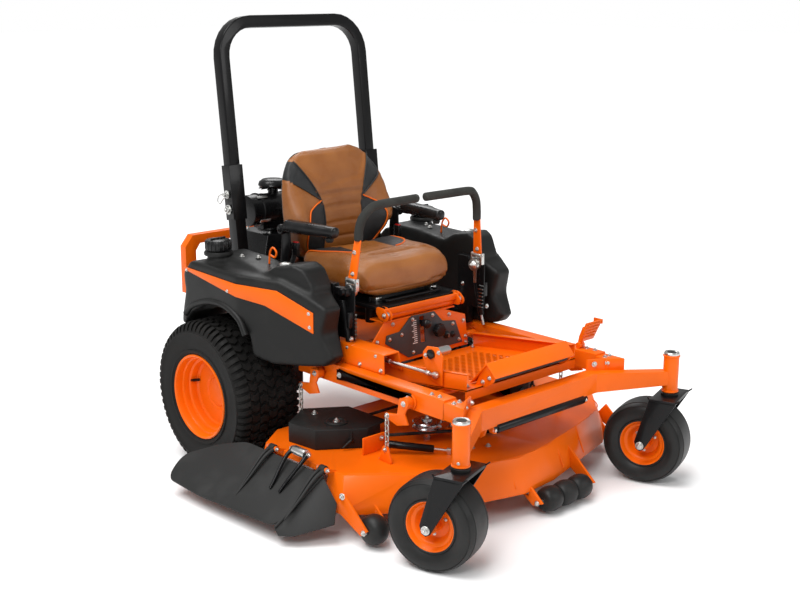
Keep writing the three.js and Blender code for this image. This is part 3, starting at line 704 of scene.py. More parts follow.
def pressing(node: str, slot: Slot, finish: Finish, edge: float = 1.5, rounds: int = 2,
             regions: Sequence[tuple[Callable[[Vector], bool], Finish]] = ()) -> Part:
    """Starts a piece from a copy of a CAD node, with its edges worked as folded or cast metal has them.

    Args:
        node: the CAD node, which the piece is shown in place of.
        slot: the record's material slot.
        finish: the surface.
        edge: the radius of its edges.
        rounds: the steps in that radius.
        regions: other surfaces, each with its test of a face's middle.

    Returns:
        The piece, for more shapes to be joined to it.
    """
    part = Part(f"{node}_body", body_of(node), slot, (node,))
    return part.add(Shape.of_node(node).bevelled(edge, rounds), finish, *regions)


# ---------------------------------------------------------------- wheels


@dataclass
class RearWheel:
    """A driven wheel: turf tyre, deep steel rim and valve. Its own X points outwards along the axle."""

    side: Side
    track: float = 550.0
    radius: float = 305.0
    half: float = 148.0
    rows: int = 5
    row_pitch: float = 41.0
    blocks: int = 46
    shoulder_bars: int = 62

    @property
    def seat(self) -> Matrix:
        """The wheel's place: its own X turned outwards, over the ground."""
        turn = Matrix.Rotation(0 if self.side is Side.LEFT else math.pi, 4, "Z")
        return Matrix.Translation((self.side.x(self.track), 0, self.radius)) @ turn

    def wrapped(self, shape: Shape, angle: float) -> Shape:
        """Wraps a lug that is drawn flat, as (along the tread, across it, radius), onto the wheel."""
        def rule(p: Vector) -> Vector:
            """Returns: a point's place on the wheel."""
            turn = angle + p.x / self.radius
            return Vector((p.y, p.z * math.sin(turn), p.z * math.cos(turn)))

        return shape.mapped(rule).closed()

    def carcass(self) -> Shape:
        """Returns: the tyre without its lugs."""
        wall = [(158, 124), (170, 137), (181, 143), (185, 147), (190, 147), (193, 142), (228, 148),
                (256, 146), (260, 148), (265, 147), (268, 142), (281, 133), (289, 116), (293, 84)]
        profile = [(r, -t) for r, t in wall] + [(294.5, 0)] + wall[::-1]
        return Shape.turned((0, 0, 0), (1, 0, 0), profile, 96)

    def tread(self, part: Part) -> None:
        """Adds the staggered chevron blocks and the shoulder bars."""
        chevron = [(-15, -19.5), (13, -19.5), (24, 0), (13, 19.5), (-15, 19.5), (-4, 0)]
        for row in range(self.rows):
            across = (row - (self.rows - 1) / 2) * self.row_pitch
            flip = -1 if row % 2 else 1
            crown = self.radius - abs(across) * 0.03
            for i in range(self.blocks):
                outline = [(flip * u, v + across) for u, v in chevron]
                block = Shape.plate(Plane.XY, outline, 286, crown)
                for vert in block.bm.verts:
                    if vert.co.z > 300:
                        vert.co.x *= 0.9
                        vert.co.y = across + (vert.co.y - across) * 0.93
                part.add(self.wrapped(block, math.tau * (i + 0.5 * (row % 2)) / self.blocks), TYRE)
        section = [(104, 284), (104, 302), (122, 299), (136, 290), (144, 274), (145, 266),
                   (138, 264), (120, 280)]
        for way in (-1, 1):
            for i in range(self.shoulder_bars):
                bar = Shape.plate(Plane.YZ, [(way * v, r) for v, r in section], -8.5, 8.5)
                for vert in bar.bm.verts:
                    vert.co.x += (abs(vert.co.y) - 104) * 0.22
                part.add(self.wrapped(bar, math.tau * (i + 0.25 * way) / self.shoulder_bars), TYRE)

    def rim(self) -> Shape:
        """Returns: the rim, with its stepped barrel and dished disc."""
        profile = [(0, 47), (56, 47), (61, 43), (68, 43), (74, 48), (126, 51), (135, 58), (137, 80),
                   (139, 84), (147, 88), (149, 108), (151, 112), (157, 114), (159, 134), (162, 141),
                   (167, 144), (171, 142), (172, 137), (160, 126), (157, 110), (157, -124), (171, -136),
                   (168, -143), (161, -140), (152, -122), (146, -60), (130, 30), (60, 36), (0, 36)]
        return Shape.turned((0, 0, 0), (1, 0, 0), profile, 96)

    def build(self) -> None:
        """Builds the wheel."""
        name, body = self.side.label, f"rear_wheel_{self.side.label}"
        tyre = Part(f"turf_tyre_{name}", body, Slot.TYRE, (f"rear_tyre_{name}",)).add(self.carcass(), TYRE)
        self.tread(tyre)
        rim = Part(f"deep_rim_{name}", body, Slot.ORANGE, (f"rear_rim_{name}",)).add(self.rim(), ORANGE)
        forward = self.side.x(1)
        rim.add(Shape.rod((55, 118 * forward, 26), (82, 124 * forward, 28), 6, 16), RUBBER)
        rim.add(Shape.rod((82, 124 * forward, 28), (92, 126 * forward, 29), 4.5, 12).bevelled(1), SATIN)
        rim.add(Shape.turned((-110, 0, 0), (1, 0, 0), [(0, -26), (96, -26), (104, -18), (104, 60), (60, 90),
                                                       (46, 146), (0, 146)], 48), CASTING)
        for part in (tyre, rim):
            bmesh.ops.transform(part.bm, matrix=self.seat, verts=part.bm.verts)
            part.place(32)


@dataclass
class Caster:
    """A swivelling front wheel in its fork. Its own Y points back along the trail."""

    side: Side
    track: float = 579.5
    ahead: float = -1342.0
    stem_foot: float = 372.0
    trail: float = 81.0
    swivel: float = 19.0
    radius: float = 163.0

    @property
    def seat(self) -> Matrix:
        """The fork's place, over the foot of the stem."""
        at = Matrix.Translation((self.side.x(self.track), self.ahead, self.stem_foot))
        return at @ Matrix.Rotation(math.radians(self.swivel), 4, "Z")

    @property
    def axle(self) -> Vector:
        """The middle of the axle, in the fork's frame."""
        return Vector((0, self.trail, self.radius - self.stem_foot))

    def wheel(self) -> None:
        """Builds the smooth tyre on its dished rim."""
        name, body = self.side.label, f"caster_wheel_{self.side.label}"
        wall = [(79, 48), (85, 58), (90, 65), (94, 66), (97, 63), (118, 76), (134, 77), (146, 72),
                (150, 69), (152, 70.5), (157, 62), (160.5, 52), (158.5, 49), (159, 46),
                (162, 43), (162.5, 30)]
        profile = [(r, -t) for r, t in wall] + [(163, 0)] + wall[::-1]
        tyre = Part(f"smooth_tyre_{name}", body, Slot.TYRE, (f"caster_tyre_{name}",))
        tyre.add(Shape.turned(self.axle, (1, 0, 0), profile, 80), RUBBER)
        dish = [(11, 66), (22, 66), (25, 62), (25, 22), (30, 17), (52, 19), (58, 27), (63, 42), (69, 47),
                (76, 48), (80, 54), (85, 62), (89, 63), (90, 58), (84, 50), (78, 44)]
        rim = Part(f"dished_rim_{name}", body, Slot.ORANGE, (f"caster_rim_{name}",))
        rim.add(Shape.turned(self.axle, (1, 0, 0), dish + [(r, -t) for r, t in dish[::-1]], 64), ORANGE)
        rim.bolts([(self.axle + Vector((way * 18, 41 * math.cos(a), 41 * math.sin(a))), (way, 0, 0))
                   for way in (-1, 1) for a in (0.6, 2.7, 4.8)], 5)
        for part in (tyre, rim):
            bmesh.ops.transform(part.bm, matrix=self.seat, verts=part.bm.verts)
            part.place(32)

    def fork(self) -> None:
        """Builds the fork with its folded crown wings, seal, cap and axle bolt."""
        name = self.side.label
        part = pressing(f"caster_fork_{name}", Slot.BLACK, BLACK, 2.5, 3, [(lambda p: p.z > 519, ZINC)])
        extras = Part("loose", "chassis", Slot.BLACK)
        for way in (-1, 1):
            seat = self.axle + Vector((way * 94, 0, 0))
            extras.bolts([(seat, (way, 0, 0))], 12)
            wing = [(-66, -8), (-44, -27), (50, -27), (62, -8), (58, -6), (48, -20), (-42, -20), (-62, -5)]
            extras.add(Shape.plate(Plane.YZ, wing, way * 90 - 4, way * 90 + 4).bevelled(1.5), BLACK)
        extras.add(Shape.turned((0, 0, -1), UP, [(15, -12), (34, -12), (35, -2), (31, 0), (15, 0)], 40),
                   RUBBER)
        cap = self.stem_foot
        extras.add(Shape.turned((0, 0, 521 - cap), UP,
                                [(0, 8), (19, 8), (21, 10), (27, 10), (30, 6), (30, 0), (0, 0)], 40), ZINC)
        extras.add(Shape.turned((0, 0, 521 - cap), UP, [(0, 9.5), (17, 9), (18, 7.6), (0, 7.6)], 32),
                   RUBBER)
        bmesh.ops.transform(extras.bm, matrix=self.seat, verts=extras.bm.verts)
        part.absorb(extras)
        part.place()

    def build(self) -> None:
        """Builds the caster."""
        self.fork()
        self.wheel()


# ---------------------------------------------------------------- frame and floor


@dataclass
class Frame:
    """The rails, front beam, engine plate, drive motors and rear guard."""

    rail_outer: float = 445.0
    shaft_y: tuple[float, float] = (-968.0, -478.0)
    beam_front: float = -1190.0

    def rails(self) -> None:
        """Builds each rail with the black lift bar along its side."""
        front, rear = self.shaft_y
        for side in Side:
            part = pressing(f"rail_{side.label}", Slot.ORANGE, ORANGE, 5, 3)
            outline = [*arc((front + 8, 482), 19, -90, -270, 8)[::-1], (rear - 96, 501), (rear - 96, 463)]
            x0, x1 = side.span(self.rail_outer + 2, self.rail_outer + 12)
            part.add(Shape.plate(Plane.YZ, outline, x0, x1).bevelled(1.5), BLACK)
            out = side.out
            part.bolts([((side.x(self.rail_outer + 12), front + 8, 482), out),
                        ((side.x(self.rail_outer + 12), rear - 110, 482), out)], 8)
            part.bolts([((side.x(self.rail_outer - 18), y, 512), UP) for y in (-1090, -1050, -420, -380)],
                       7)
            part.add(Shape.rod((side.x(self.rail_outer), front, 470),
                               (side.x(self.rail_outer + 8), front, 470), 27, 32) .bevelled(2), ORANGE)
            part.place()

    def beam(self) -> None:
        """Builds the front beam with its torsion tube, gusset bolts, stem rings and grease fittings."""
        part = pressing("front_beam", Slot.ORANGE, ORANGE, 4, 3,
                        [(lambda p: p.z < 390 and abs(p.x) < 244, BLACK)])
        part.add(Shape.rod((-240, -1184, 376), (240, -1184, 376), 17, 32).bevelled(2), BLACK)
        for side in Side:
            for z in (402, 488):
                part.bolts([((side.x(x), -1131 - (x - 322) * 0.6, z), (0, 1, 0)) for x in (345, 395)], 7)
                part.bolts([((side.x(x), self.beam_front + 40 - (x - 322) * 0.42, z), (side.x(-0.5), -1, 0))
                            for x in (340, 392) if z > 470], 8)
            part.bolts([((side.x(252), -1190, 374), AHEAD)], 7)
            foot = Vector((side.x(579.5), -1342, 390))
            part.bolts([(foot + Vector((26 * side.value, -14, 0)), (side.x(0.8), -0.5, 0))], 4)
            for z in (376, 516):
                part.add(Shape.turned((foot.x, foot.y, z), UP, [(30, -3), (33, -2), (33, 2), (30, 3)], 36),
                         ORANGE)
            x0, x1 = side.span(225, 236)
            strap = [(-1128, 380), (-1108, 380), (-1092, 330), (-1104, 318), (-1122, 330), (-1134, 366)]
            part.add(Shape.plate(Plane.YZ, strap, x0, x1).bevelled(1.5), ORANGE)
            web = [(385, -1120), (445, -1120), (445, -1222), (385, -1180)]
            part.add(Shape.plate(Plane.XY, [(side.x(x), y) for x, y in web[::side.value]], 440,
                                 505).bevelled(3), ORANGE)
            part.bolts([((side.x(x), -1160, 505), UP) for x in (402, 428)], 7)
        part.place()

    def rear(self) -> None:
        """Builds the engine plate, the wheel motors, the pump drive and the rear guard."""
        plate = pressing("engine_deck", Slot.ORANGE, ORANGE, 2)
        for side in Side:
            plate.add(Shape.turned((side.x(300), 0, 305), side.out,
                                   [(0, 0), (78, 0), (86, 8), (86, 60), (60, 78), (44, 84), (44, 104),
                                    (0, 104)], 40) .bevelled(2), CASTING)
            plate.add(Shape.box(side.x(250) - 46, side.x(250) + 46, -60, 90, 250, 372).bevelled(8, 3),
                      CASTING)
            plate.add(Shape.box(side.x(272) - 24, side.x(272) + 24, -80, 90, 372, 433).bevelled(3), ORANGE)
            plate.bolts([((side.x(300), y, 480), side.out) for y in (-300, -250, -60, 60, 180, 300)], 8)
        plate.add(Shape.box(-120, 120, -60, 60, 290, 372).bevelled(10, 3), CASTING)
        plate.place()
        guard = pressing("rear_bumper", Slot.ORANGE, ORANGE, 3, 3)
        guard.bolts([((side.x(270), 600, z), AHEAD) for side in Side for z in (575, 590)], 6)
        guard.bolts([((side.x(270), 380, 600), UP) for side in Side], 8)
        guard.place()

    def build(self) -> None:
        """Builds the frame."""
        self.rails()
        self.beam()
        self.rear()


@dataclass
class Floor:
    """The perforated foot platform, the kick plate and the padded foot bar."""

    half: float = 300.0
    back: float = -560.0
    front: float = -1094.0
    back_z: float = 446.0
    front_z: float = 508.0
    pitch: float = 25.0

    def sloped(self, shape: Shape) -> Shape:
        """Tilts a shape that is drawn over a level floor."""
        climb = (self.front_z - self.back_z) / (self.front - self.back)
        return shape.mapped(lambda p: p + Vector((0, 0, self.back_z + (p.y - self.back) * climb)))

    def mesh_panel(self, x0: float, x1: float, y0: float, y1: float) -> Shape:
        """Returns: a sheet with staggered holes, with its top at nought."""
        shape = Shape()
        cells = int(max(x1 - x0, y1 - y0) * 1.5 / self.pitch)
        bmesh.ops.create_grid(shape.bm, x_segments=cells, y_segments=cells, size=cells * self.pitch / 2,
                              matrix=Matrix.Translation(((x0 + x1) / 2, (y0 + y1) / 2, 0))
                              @ Matrix.Rotation(math.radians(45), 4, "Z"))
        for place, way in (((x0, 0, 0), (-1, 0, 0)), ((x1, 0, 0), (1, 0, 0)), ((0, y0, 0), AHEAD),
                           ((0, y1, 0), (0, 1, 0))):
            bmesh.ops.bisect_plane(shape.bm, geom=[*shape.bm.verts, *shape.bm.edges, *shape.bm.faces],
                                   plane_co=place, plane_no=way, clear_outer=True)
        whole = [f for f in shape.bm.faces if f.calc_area() > 0.95 * self.pitch ** 2]
        bmesh.ops.inset_individual(shape.bm, faces=whole, thickness=self.pitch * 0.17)
        corners = list({v for f in whole for v in f.verts})
        bmesh.ops.bevel(shape.bm, geom=corners, offset=self.pitch * 0.18, segments=1, profile=0.5,
                        affect="VERTICES", material=-1)
        holes = [f for f in shape.bm.faces if len(f.verts) == 8 and f.calc_area() < 0.6 * self.pitch ** 2]
        bmesh.ops.delete(shape.bm, geom=holes, context="FACES")
        bmesh.ops.recalc_face_normals(shape.bm, faces=shape.bm.faces)
        bmesh.ops.solidify(shape.bm, geom=shape.bm.faces[:], thickness=4)
        return shape

    def platform(self) -> None:
        """Builds the floor, its walls, its punched middle and the dark sheet of painted shade under it."""
        part = Part("foot_platform", "chassis", Slot.ORANGE, ("floor_pan",))
        x, y0, y1 = 214, -1010, -640
        for box in ((-self.half, -x, self.front, self.back), (x, self.half, self.front, self.back),
                    (-x, x, self.front, y0), (-x, x, y1, self.back)):
            part.add(self.sloped(Shape.box(*box, -5, 0)), ORANGE)
        part.add(self.sloped(self.mesh_panel(-x, x, y0, y1)), ORANGE)
        # Painted shade: a dark rubber sheet just under the punched middle, so that its holes show dark as
        # shadow would.
        part.add(self.sloped(Shape.box(-x, x, y0, y1, -16, -13)), RUBBER)
        for side in Side:
            a, b = side.span(self.half, self.half - 5)
            part.add(self.sloped(Shape.box(a, b, self.front, self.back, -5, 58).bevelled(1.5)), ORANGE)
            a, b = side.span(self.half, self.half - 26)
            part.add(self.sloped(Shape.box(a, b, self.front, self.back, 54, 58).bevelled(1.5)), ORANGE)
            part.bolts([((side.x(260), y, 449 - (y + 560) * 0.116), UP) for y in (-1060, -590)], 7)
        part.add(Shape.box(-self.half, self.half, self.front, self.front + 5, 468, 508), ORANGE)
        part.place()

    def kick(self) -> None:
        """Builds the kick plate and the padded bar under it."""
        part = pressing("kick_plate", Slot.ORANGE, ORANGE, 1.5)
        part.add(Shape.rod((-205, -1122, 541), (205, -1122, 541), 17, 32).bevelled(4, 3), FOAM)
        for side in Side:
            a, b = side.span(206, 212)
            lug = rounded(
                [(-1052, 500), (-1098, 590), (-1116, 590), (-1148, 548), (-1140, 526), (-1100, 500)], 8)
            part.add(Shape.plate(Plane.YZ, lug, a, b).bevelled(1), ORANGE)
            part.bolts([((side.x(212), -1122, 541), side.out), ((side.x(212), -1090, 520), side.out)], 7)
            part.bolts([((side.x(150), -1090 + k * 16, 566 - k * 31), (0, 0.89, 0.45)) for k in (0, 1)], 5)
        part.place()

    def build(self) -> None:
        """Builds the floor."""
        self.platform()
        self.kick()
# ---------------------------------------------------------------- seat and controls


def eased(table: Sequence[tuple[float, ...]], at: float) -> list[float]:
    """Returns: a row of a table between its rows, with smooth turns; the first column is the key."""
    keys = [row[0] for row in table]
    at = min(max(at, keys[0]), keys[-1])
    i = min(max(sum(k <= at for k in keys) - 1, 0), len(keys) - 2)
    rows = [table[max(i - 1, 0)], table[i], table[i + 1], table[min(i + 2, len(keys) - 1)]]
    t = (at - keys[i]) / (keys[i + 1] - keys[i])
    return [0.5 * (2 * b + (c - a) * t + (2 * a - 5 * b + 4 * c - d) * t ** 2 + (3 * b - a - 3 * c + d)
                   * t ** 3) for a, b, c, d in zip(*rows)][1:]


def bump(value: float, middle: float, width: float) -> float:
    """Returns: a smooth hump of height 1."""
    return math.exp(-((value - middle) / width) ** 2)


def step(value: float, low: float, high: float) -> float:
    """Returns: 0 below low and 1 above high, smoothly."""
    t = min(max((value - low) / (high - low), 0.0), 1.0)
    return t * t * (3 - 2 * t)


@dataclass
class Cushion:
    """One upholstered pad: a closed form lofted from rings, with sewn panels and piping.

    A ring lies at each station along the pad. A point on it is given by its turn round the ring.
    """

    name: str
    node: str
    stations: tuple[float, float]
    ends: tuple[float, float]
    seams: Callable[[Vector], float]
    around: int = 132
    along: int = 92

    def ring(self, station: float, turn: float) -> Vector:
        """Returns: the point of one ring, at a turn from 0 to 1."""
        raise NotImplementedError

    def panel(self, p: Vector) -> Finish:
        """Returns: the finish of a face by its middle."""
        raise NotImplementedError

    def piping(self) -> list[tuple[list[Vector], Finish]]:
        """Returns: the welts, each a line on the surface with its finish."""
        return []

    def end_share(self, station: float) -> float:
        """Returns: how full a ring is near the rounded ends, from nearly 0 to 1."""
        first, last = self.stations
        share = 1.0
        for gap, reach in ((abs(station - first), self.ends[0]), (abs(last - station), self.ends[1])):
            if gap < reach:
                share = min(share, math.sqrt(max(0.0, 1 - (1 - gap / reach) ** 2)))
        return max(share, 0.06)

    def mesh(self) -> bmesh.types.BMesh:
        """Returns: the closed form, as rings joined by bridges and closed by grids of fan faces."""
        bm = bmesh.new()
        first, last = self.stations
        bmesh.ops.create_grid(bm, x_segments=self.around, y_segments=self.along, size=0.5)
        for vert in bm.verts:
            share = vert.co.y + 0.5
            spread = share + 0.10 * math.sin(-math.tau * share)
            vert.co = self.ring(first + (last - first) * spread, vert.co.x + 0.5)
        bmesh.ops.remove_doubles(bm, verts=bm.verts, dist=0.05)
        rims = [e for e in bm.edges if e.is_boundary]
        bmesh.ops.holes_fill(bm, edges=rims, sides=0)
        bmesh.ops.recalc_face_normals(bm, faces=bm.faces)
        return bm

    def sewn(self, bm: bmesh.types.BMesh) -> None:
        """Draws the seams and channels in."""
        for vert in bm.verts:
            depth = self.seams(vert.co)
            if depth:
                vert.co -= vert.normal * depth

    def inflated(self, piece: bpy.types.Object) -> None:
        """Fills the pad: cloth under pressure, held along its seams, with its swell capped.

        Args:
            piece: the pad's object, whose mesh takes the result.
        """
        held = piece.vertex_groups.new(name="seams")
        before = [v.co.copy() for v in piece.data.vertices]
        for vert, place in zip(piece.data.vertices, before):
            local = FROM_ROW @ place
            held.add([vert.index], 1.0 if self.seams(local) > 1.6 or self.rests(local) else 0.0, "REPLACE")
        cloth = piece.modifiers.new("fill", "CLOTH")
        settings = cloth.settings
        settings.use_pressure, settings.uniform_pressure_force = True, 2.2
        settings.effector_weights.gravity = 0
        settings.vertex_group_mass = held.name
        settings.quality, settings.tension_stiffness, settings.bending_stiffness = 4, 25, 3
        cloth.collision_settings.use_collision = False
        for moment in range(1, 13):
            bpy.context.scene.frame_set(moment)
        swollen = piece.evaluated_get(bpy.context.evaluated_depsgraph_get()).to_mesh()
        after = [v.co.copy() for v in swollen.vertices]
        piece.modifiers.remove(cloth)
        piece.vertex_groups.remove(held)
        cap = 9 * METRES
        for vert, old, new in zip(piece.data.vertices, before, after):
            move = new - old
            vert.co = old + move * min(1.0, cap / max(move.length, 1e-9))
        bpy.context.scene.frame_set(1)

    def rests(self, p: Vector) -> bool:
        """Whether a point lies on the pad's board."""
        return False

    def build(self) -> None:
        """Builds the pad and its piping."""
        part = Part(self.name, "seat", Slot.VINYL, (self.node,))
        part.bm.free()
        part.bm = self.mesh()
        part.bm.normal_update()
        part.finishes = [TAN, CHARCOAL]
        for face in part.bm.faces:
            face.material_index = part.finishes.index(self.panel(face.calc_center_median()))
            face.smooth = True
        self.sewn(part.bm)
        part.bm.normal_update()
        pad = part.place(180)
        self.inflated(pad)
        welts = Part(f"{self.name}_piping", "seat", Slot.VINYL)
        for line, finish in self.piping():
            welts.add(Shape.swept(line, 3.1, 8), finish)
        welts.place()


@dataclass
class SeatBack(Cushion):
    """The back: tan middle with sewn channels, side bolsters, and dark shoulders and flanks."""

    name: str = "back_pad"
    node: str = "seat_back"
    stations: tuple[float, float] = (800.0, 1238.0)
    ends: tuple[float, float] = (34.0, 26.0)
    seams: Callable[[Vector], float] = field(default=lambda p: SeatBack.groove(p))

    CHANNELS = (818, 876, 940, 1008, 1062)
    SHAPE = ((800, 196, -30, 40), (860, 224, -38, 47), (900, 246, -43, 52), (960, 272, -46, 54),
             (1060, 268, -28, 50), (1110, 256, -14, 46), (1150, 240, -2, 42), (1190, 214, 10, 36),
             (1222, 178, 20, 30), (1238, 148, 24, 24))

    def ring(self, station: float, turn: float) -> Vector:
        """Returns: the point of one ring, at a turn from 0 to 1."""
        half, middle, depth = eased(self.SHAPE, station)
        share = self.end_share(station)
        c, s = math.cos(math.tau * turn), math.sin(math.tau * turn)
        x = half * (0.86 + 0.14 * share) * math.copysign(abs(c) ** 0.70, c)
        y = middle + depth * share * math.copysign(abs(s) ** 0.62, s)
        if s < 0:
            wing = bump(abs(x), 236, 54) * bump(station, 950, 115) * 44
            y += share * (bump(x, 0, 135) * bump(station, 900, 150) * 20 - wing)
            y -= share * 7 * bump(x, 0, 120) * bump(station, 1130, 70)
        return Vector((x, y, station))

    @staticmethod
    def edge(z: float) -> float:
        """Returns: how far out the tan middle reaches at a height."""
        return eased(
            ((780, 92), (900, 97), (1010, 104), (1050, 117), (1120, 150), (1190, 192), (1240, 226)), z)[0]

    @staticmethod
    def wing_edge(z: float) -> float:
        """Returns: how far in the tan bolster reaches at a height."""
        return eased(
            ((780, 140), (840, 182), (900, 208), (960, 210), (1002, 186), (1026, 140), (1038, 114)), z)[0]

    @staticmethod
    def shoulder(x: float) -> float:
        """Returns: the height of the lower edge of the dark shoulder at a distance out."""
        return 1040 + (abs(x) - 114) * 0.66

    @staticmethod
    def groove(p: Vector) -> float:
        """Returns: the depth of the sewing at a point."""
        if p.y > eased(SeatBack.SHAPE, p.z)[1]:
            return 0.0
        out = abs(p.x)
        depth = 0.0
        edge = SeatBack.edge(p.z)
        depth = max(depth, 5.0 * bump(out, edge, 4.0))
        if out < edge + 3:
            for z in SeatBack.CHANNELS:
                depth = max(depth, 8.5 * bump(p.z + 1.5 * (p.x / 100) ** 2, z, 4.6))
        if p.z < 1038:
            depth = max(depth, 4.0 * bump(out, SeatBack.wing_edge(p.z), 4.0))
        if out > edge:
            depth = max(depth, 4.0 * bump(p.z, SeatBack.shoulder(p.x), 4.0))
        return depth

    def panel(self, p: Vector) -> Finish:
        """Returns: the finish of a face by its middle."""
        out, edge = abs(p.x), self.edge(p.z)
        if p.y > eased(self.SHAPE, p.z)[1] + 12:
            return CHARCOAL
        if out < edge:
            return TAN
        if p.z > self.shoulder(p.x):
            return CHARCOAL if p.z < 1196 else TAN
        return CHARCOAL if p.z < 1038 and out < self.wing_edge(p.z) else TAN

    def on_front(self, x: float, z: float) -> Vector:
        """Returns: the point of the front face over a place."""
        half, share = eased(self.SHAPE, z)[0], self.end_share(z)
        ratio = min(1.0, abs(x) / (half * (0.86 + 0.14 * share)))
        turn = math.acos(ratio ** (1 / 0.70)) / math.tau
        p = self.ring(z, 1 - turn if x > 0 else 0.5 + turn)
        return p + Vector((0, -1.0, 0))

    def piping(self) -> list[tuple[list[Vector], Finish]]:
        """Returns: orange welts on the bolsters, and dark ones round the middle and shoulders."""
        lines = []
        for side in Side:
            wing = [self.on_front(side.x(self.wing_edge(z)), z) for z in range(822, 1039, 6)]
            edge = [self.on_front(side.x(self.edge(z)), z) + Vector((0, 2, 0)) for z in range(822, 1200, 8)]
            top = [self.on_front(side.x(x), self.shoulder(x)) for x in range(118, 238, 8)]
            lines += [(wing, PIPING), (edge, CHARCOAL), (top, CHARCOAL)]
        return lines

    def rests(self, p: Vector) -> bool:
        """Whether a point lies on the pad's board."""
        return p.y > eased(self.SHAPE, p.z)[1] + 18


@dataclass
class SeatCushion(Cushion):
    """The cushion: a tan front roll and middle, with dark inserts at the rear of each side."""

    name: str = "cushion_pad"
    node: str = "seat_cushion"
    stations: tuple[float, float] = (-492.0, -96.0)
    ends: tuple[float, float] = (34.0, 30.0)
    seams: Callable[[Vector], float] = field(default=lambda p: SeatCushion.groove(p))
    floor: float = 709.0

    SHAPE = ((-480, 232, 852), (-430, 246, 866), (-380, 254, 868), (-300, 260, 862), (-200, 262, 864),
             (-140, 256, 866), (-96, 240, 860))

    def ring(self, station: float, turn: float) -> Vector:
        """Returns: the point of one ring, at a turn from 0 to 1."""
        half, top = eased(self.SHAPE, station)
        share = self.end_share(station)
        c, s = math.cos(math.tau * turn), math.sin(math.tau * turn)
        middle = (self.floor + top) / 2 - 6
        x = half * (0.90 + 0.10 * share) * math.copysign(abs(c) ** 0.48, c)
        if s > 0:
            x *= 1 - 0.10 * s ** 3
        else:
            x *= 1 - 0.16 * abs(s)
        z = middle + (top - middle if s > 0
                      else middle - self.floor) * share * math.copysign(abs(s) ** 0.52, s)
        if s > 0:
            z += share * (bump(abs(x), 196, 46) * 9 * step(station, -420, -300) - bump(x, 0, 120) * 11)
        return Vector((x, station, z))

    @staticmethod
    def welt(turn: float) -> tuple[float, float]:
        """Returns: the place of the outer edge of an insert, from its rear at 0 to its front at 1."""
        angle = turn * math.pi / 2
        return 96 + 128 * math.cos(angle) ** 0.8, -112 - 190 * math.sin(angle)

    @staticmethod
    def inside(p: Vector) -> float:
        """Returns: the share of an insert's reach that a point lies at; its outer edge is at 1."""
        return math.hypot(max(0.0, abs(p.x) - 96) / 128, min(0.0, p.y + 112) / 190)

    @staticmethod
    def groove(p: Vector) -> float:
        """Returns: the depth of the sewing at a point."""
        depth = 0.0
        if p.z > 800:
            reach = SeatCushion.inside(p)
            if abs(p.x) > 94:
                depth = 4.0 * bump(reach * 150, 150, 4.0)
            if reach < 1:
                depth = max(depth, 4.0 * bump(abs(p.x), 96, 4.0))
        if 725 < p.z < 860 and abs(p.x) > 190:
            depth = max(depth, 3.4 * bump(p.y, -412 + (p.z - 725) * 0.10, 4.0))
        return max(depth, 3.6 * bump(p.z, 738, 3.5))

    def panel(self, p: Vector) -> Finish:
        """Returns: the finish of a face by its middle."""
        dark = p.z > 800 and abs(p.x) > 96 and self.inside(p) < 1
        return CHARCOAL if dark or p.z < 712 else TAN

    def on_top(self, x: float, y: float) -> Vector:
        """Returns: the point of the upper face over a place."""
        low, high = 0.0, 0.25
        for _ in range(18):
            mid = (low + high) / 2
            if self.ring(y, mid).x > abs(x):
                low = mid
            else:
                high = mid
        p = self.ring(y, high)
        return Vector((math.copysign(p.x, x), p.y, p.z + 0.6))

    def piping(self) -> list[tuple[list[Vector], Finish]]:
        """Returns: an orange welt along the outer edge of each insert."""
        lines = []
        for side in Side:
            curve = [self.on_top(side.x(x), y) for x, y in (self.welt(k / 16) for k in range(17))]
            lines.append((curve_through(curve, 3), PIPING))
        return lines

    def rests(self, p: Vector) -> bool:
        """Whether a point lies on the pad's board."""
        return p.z < 722


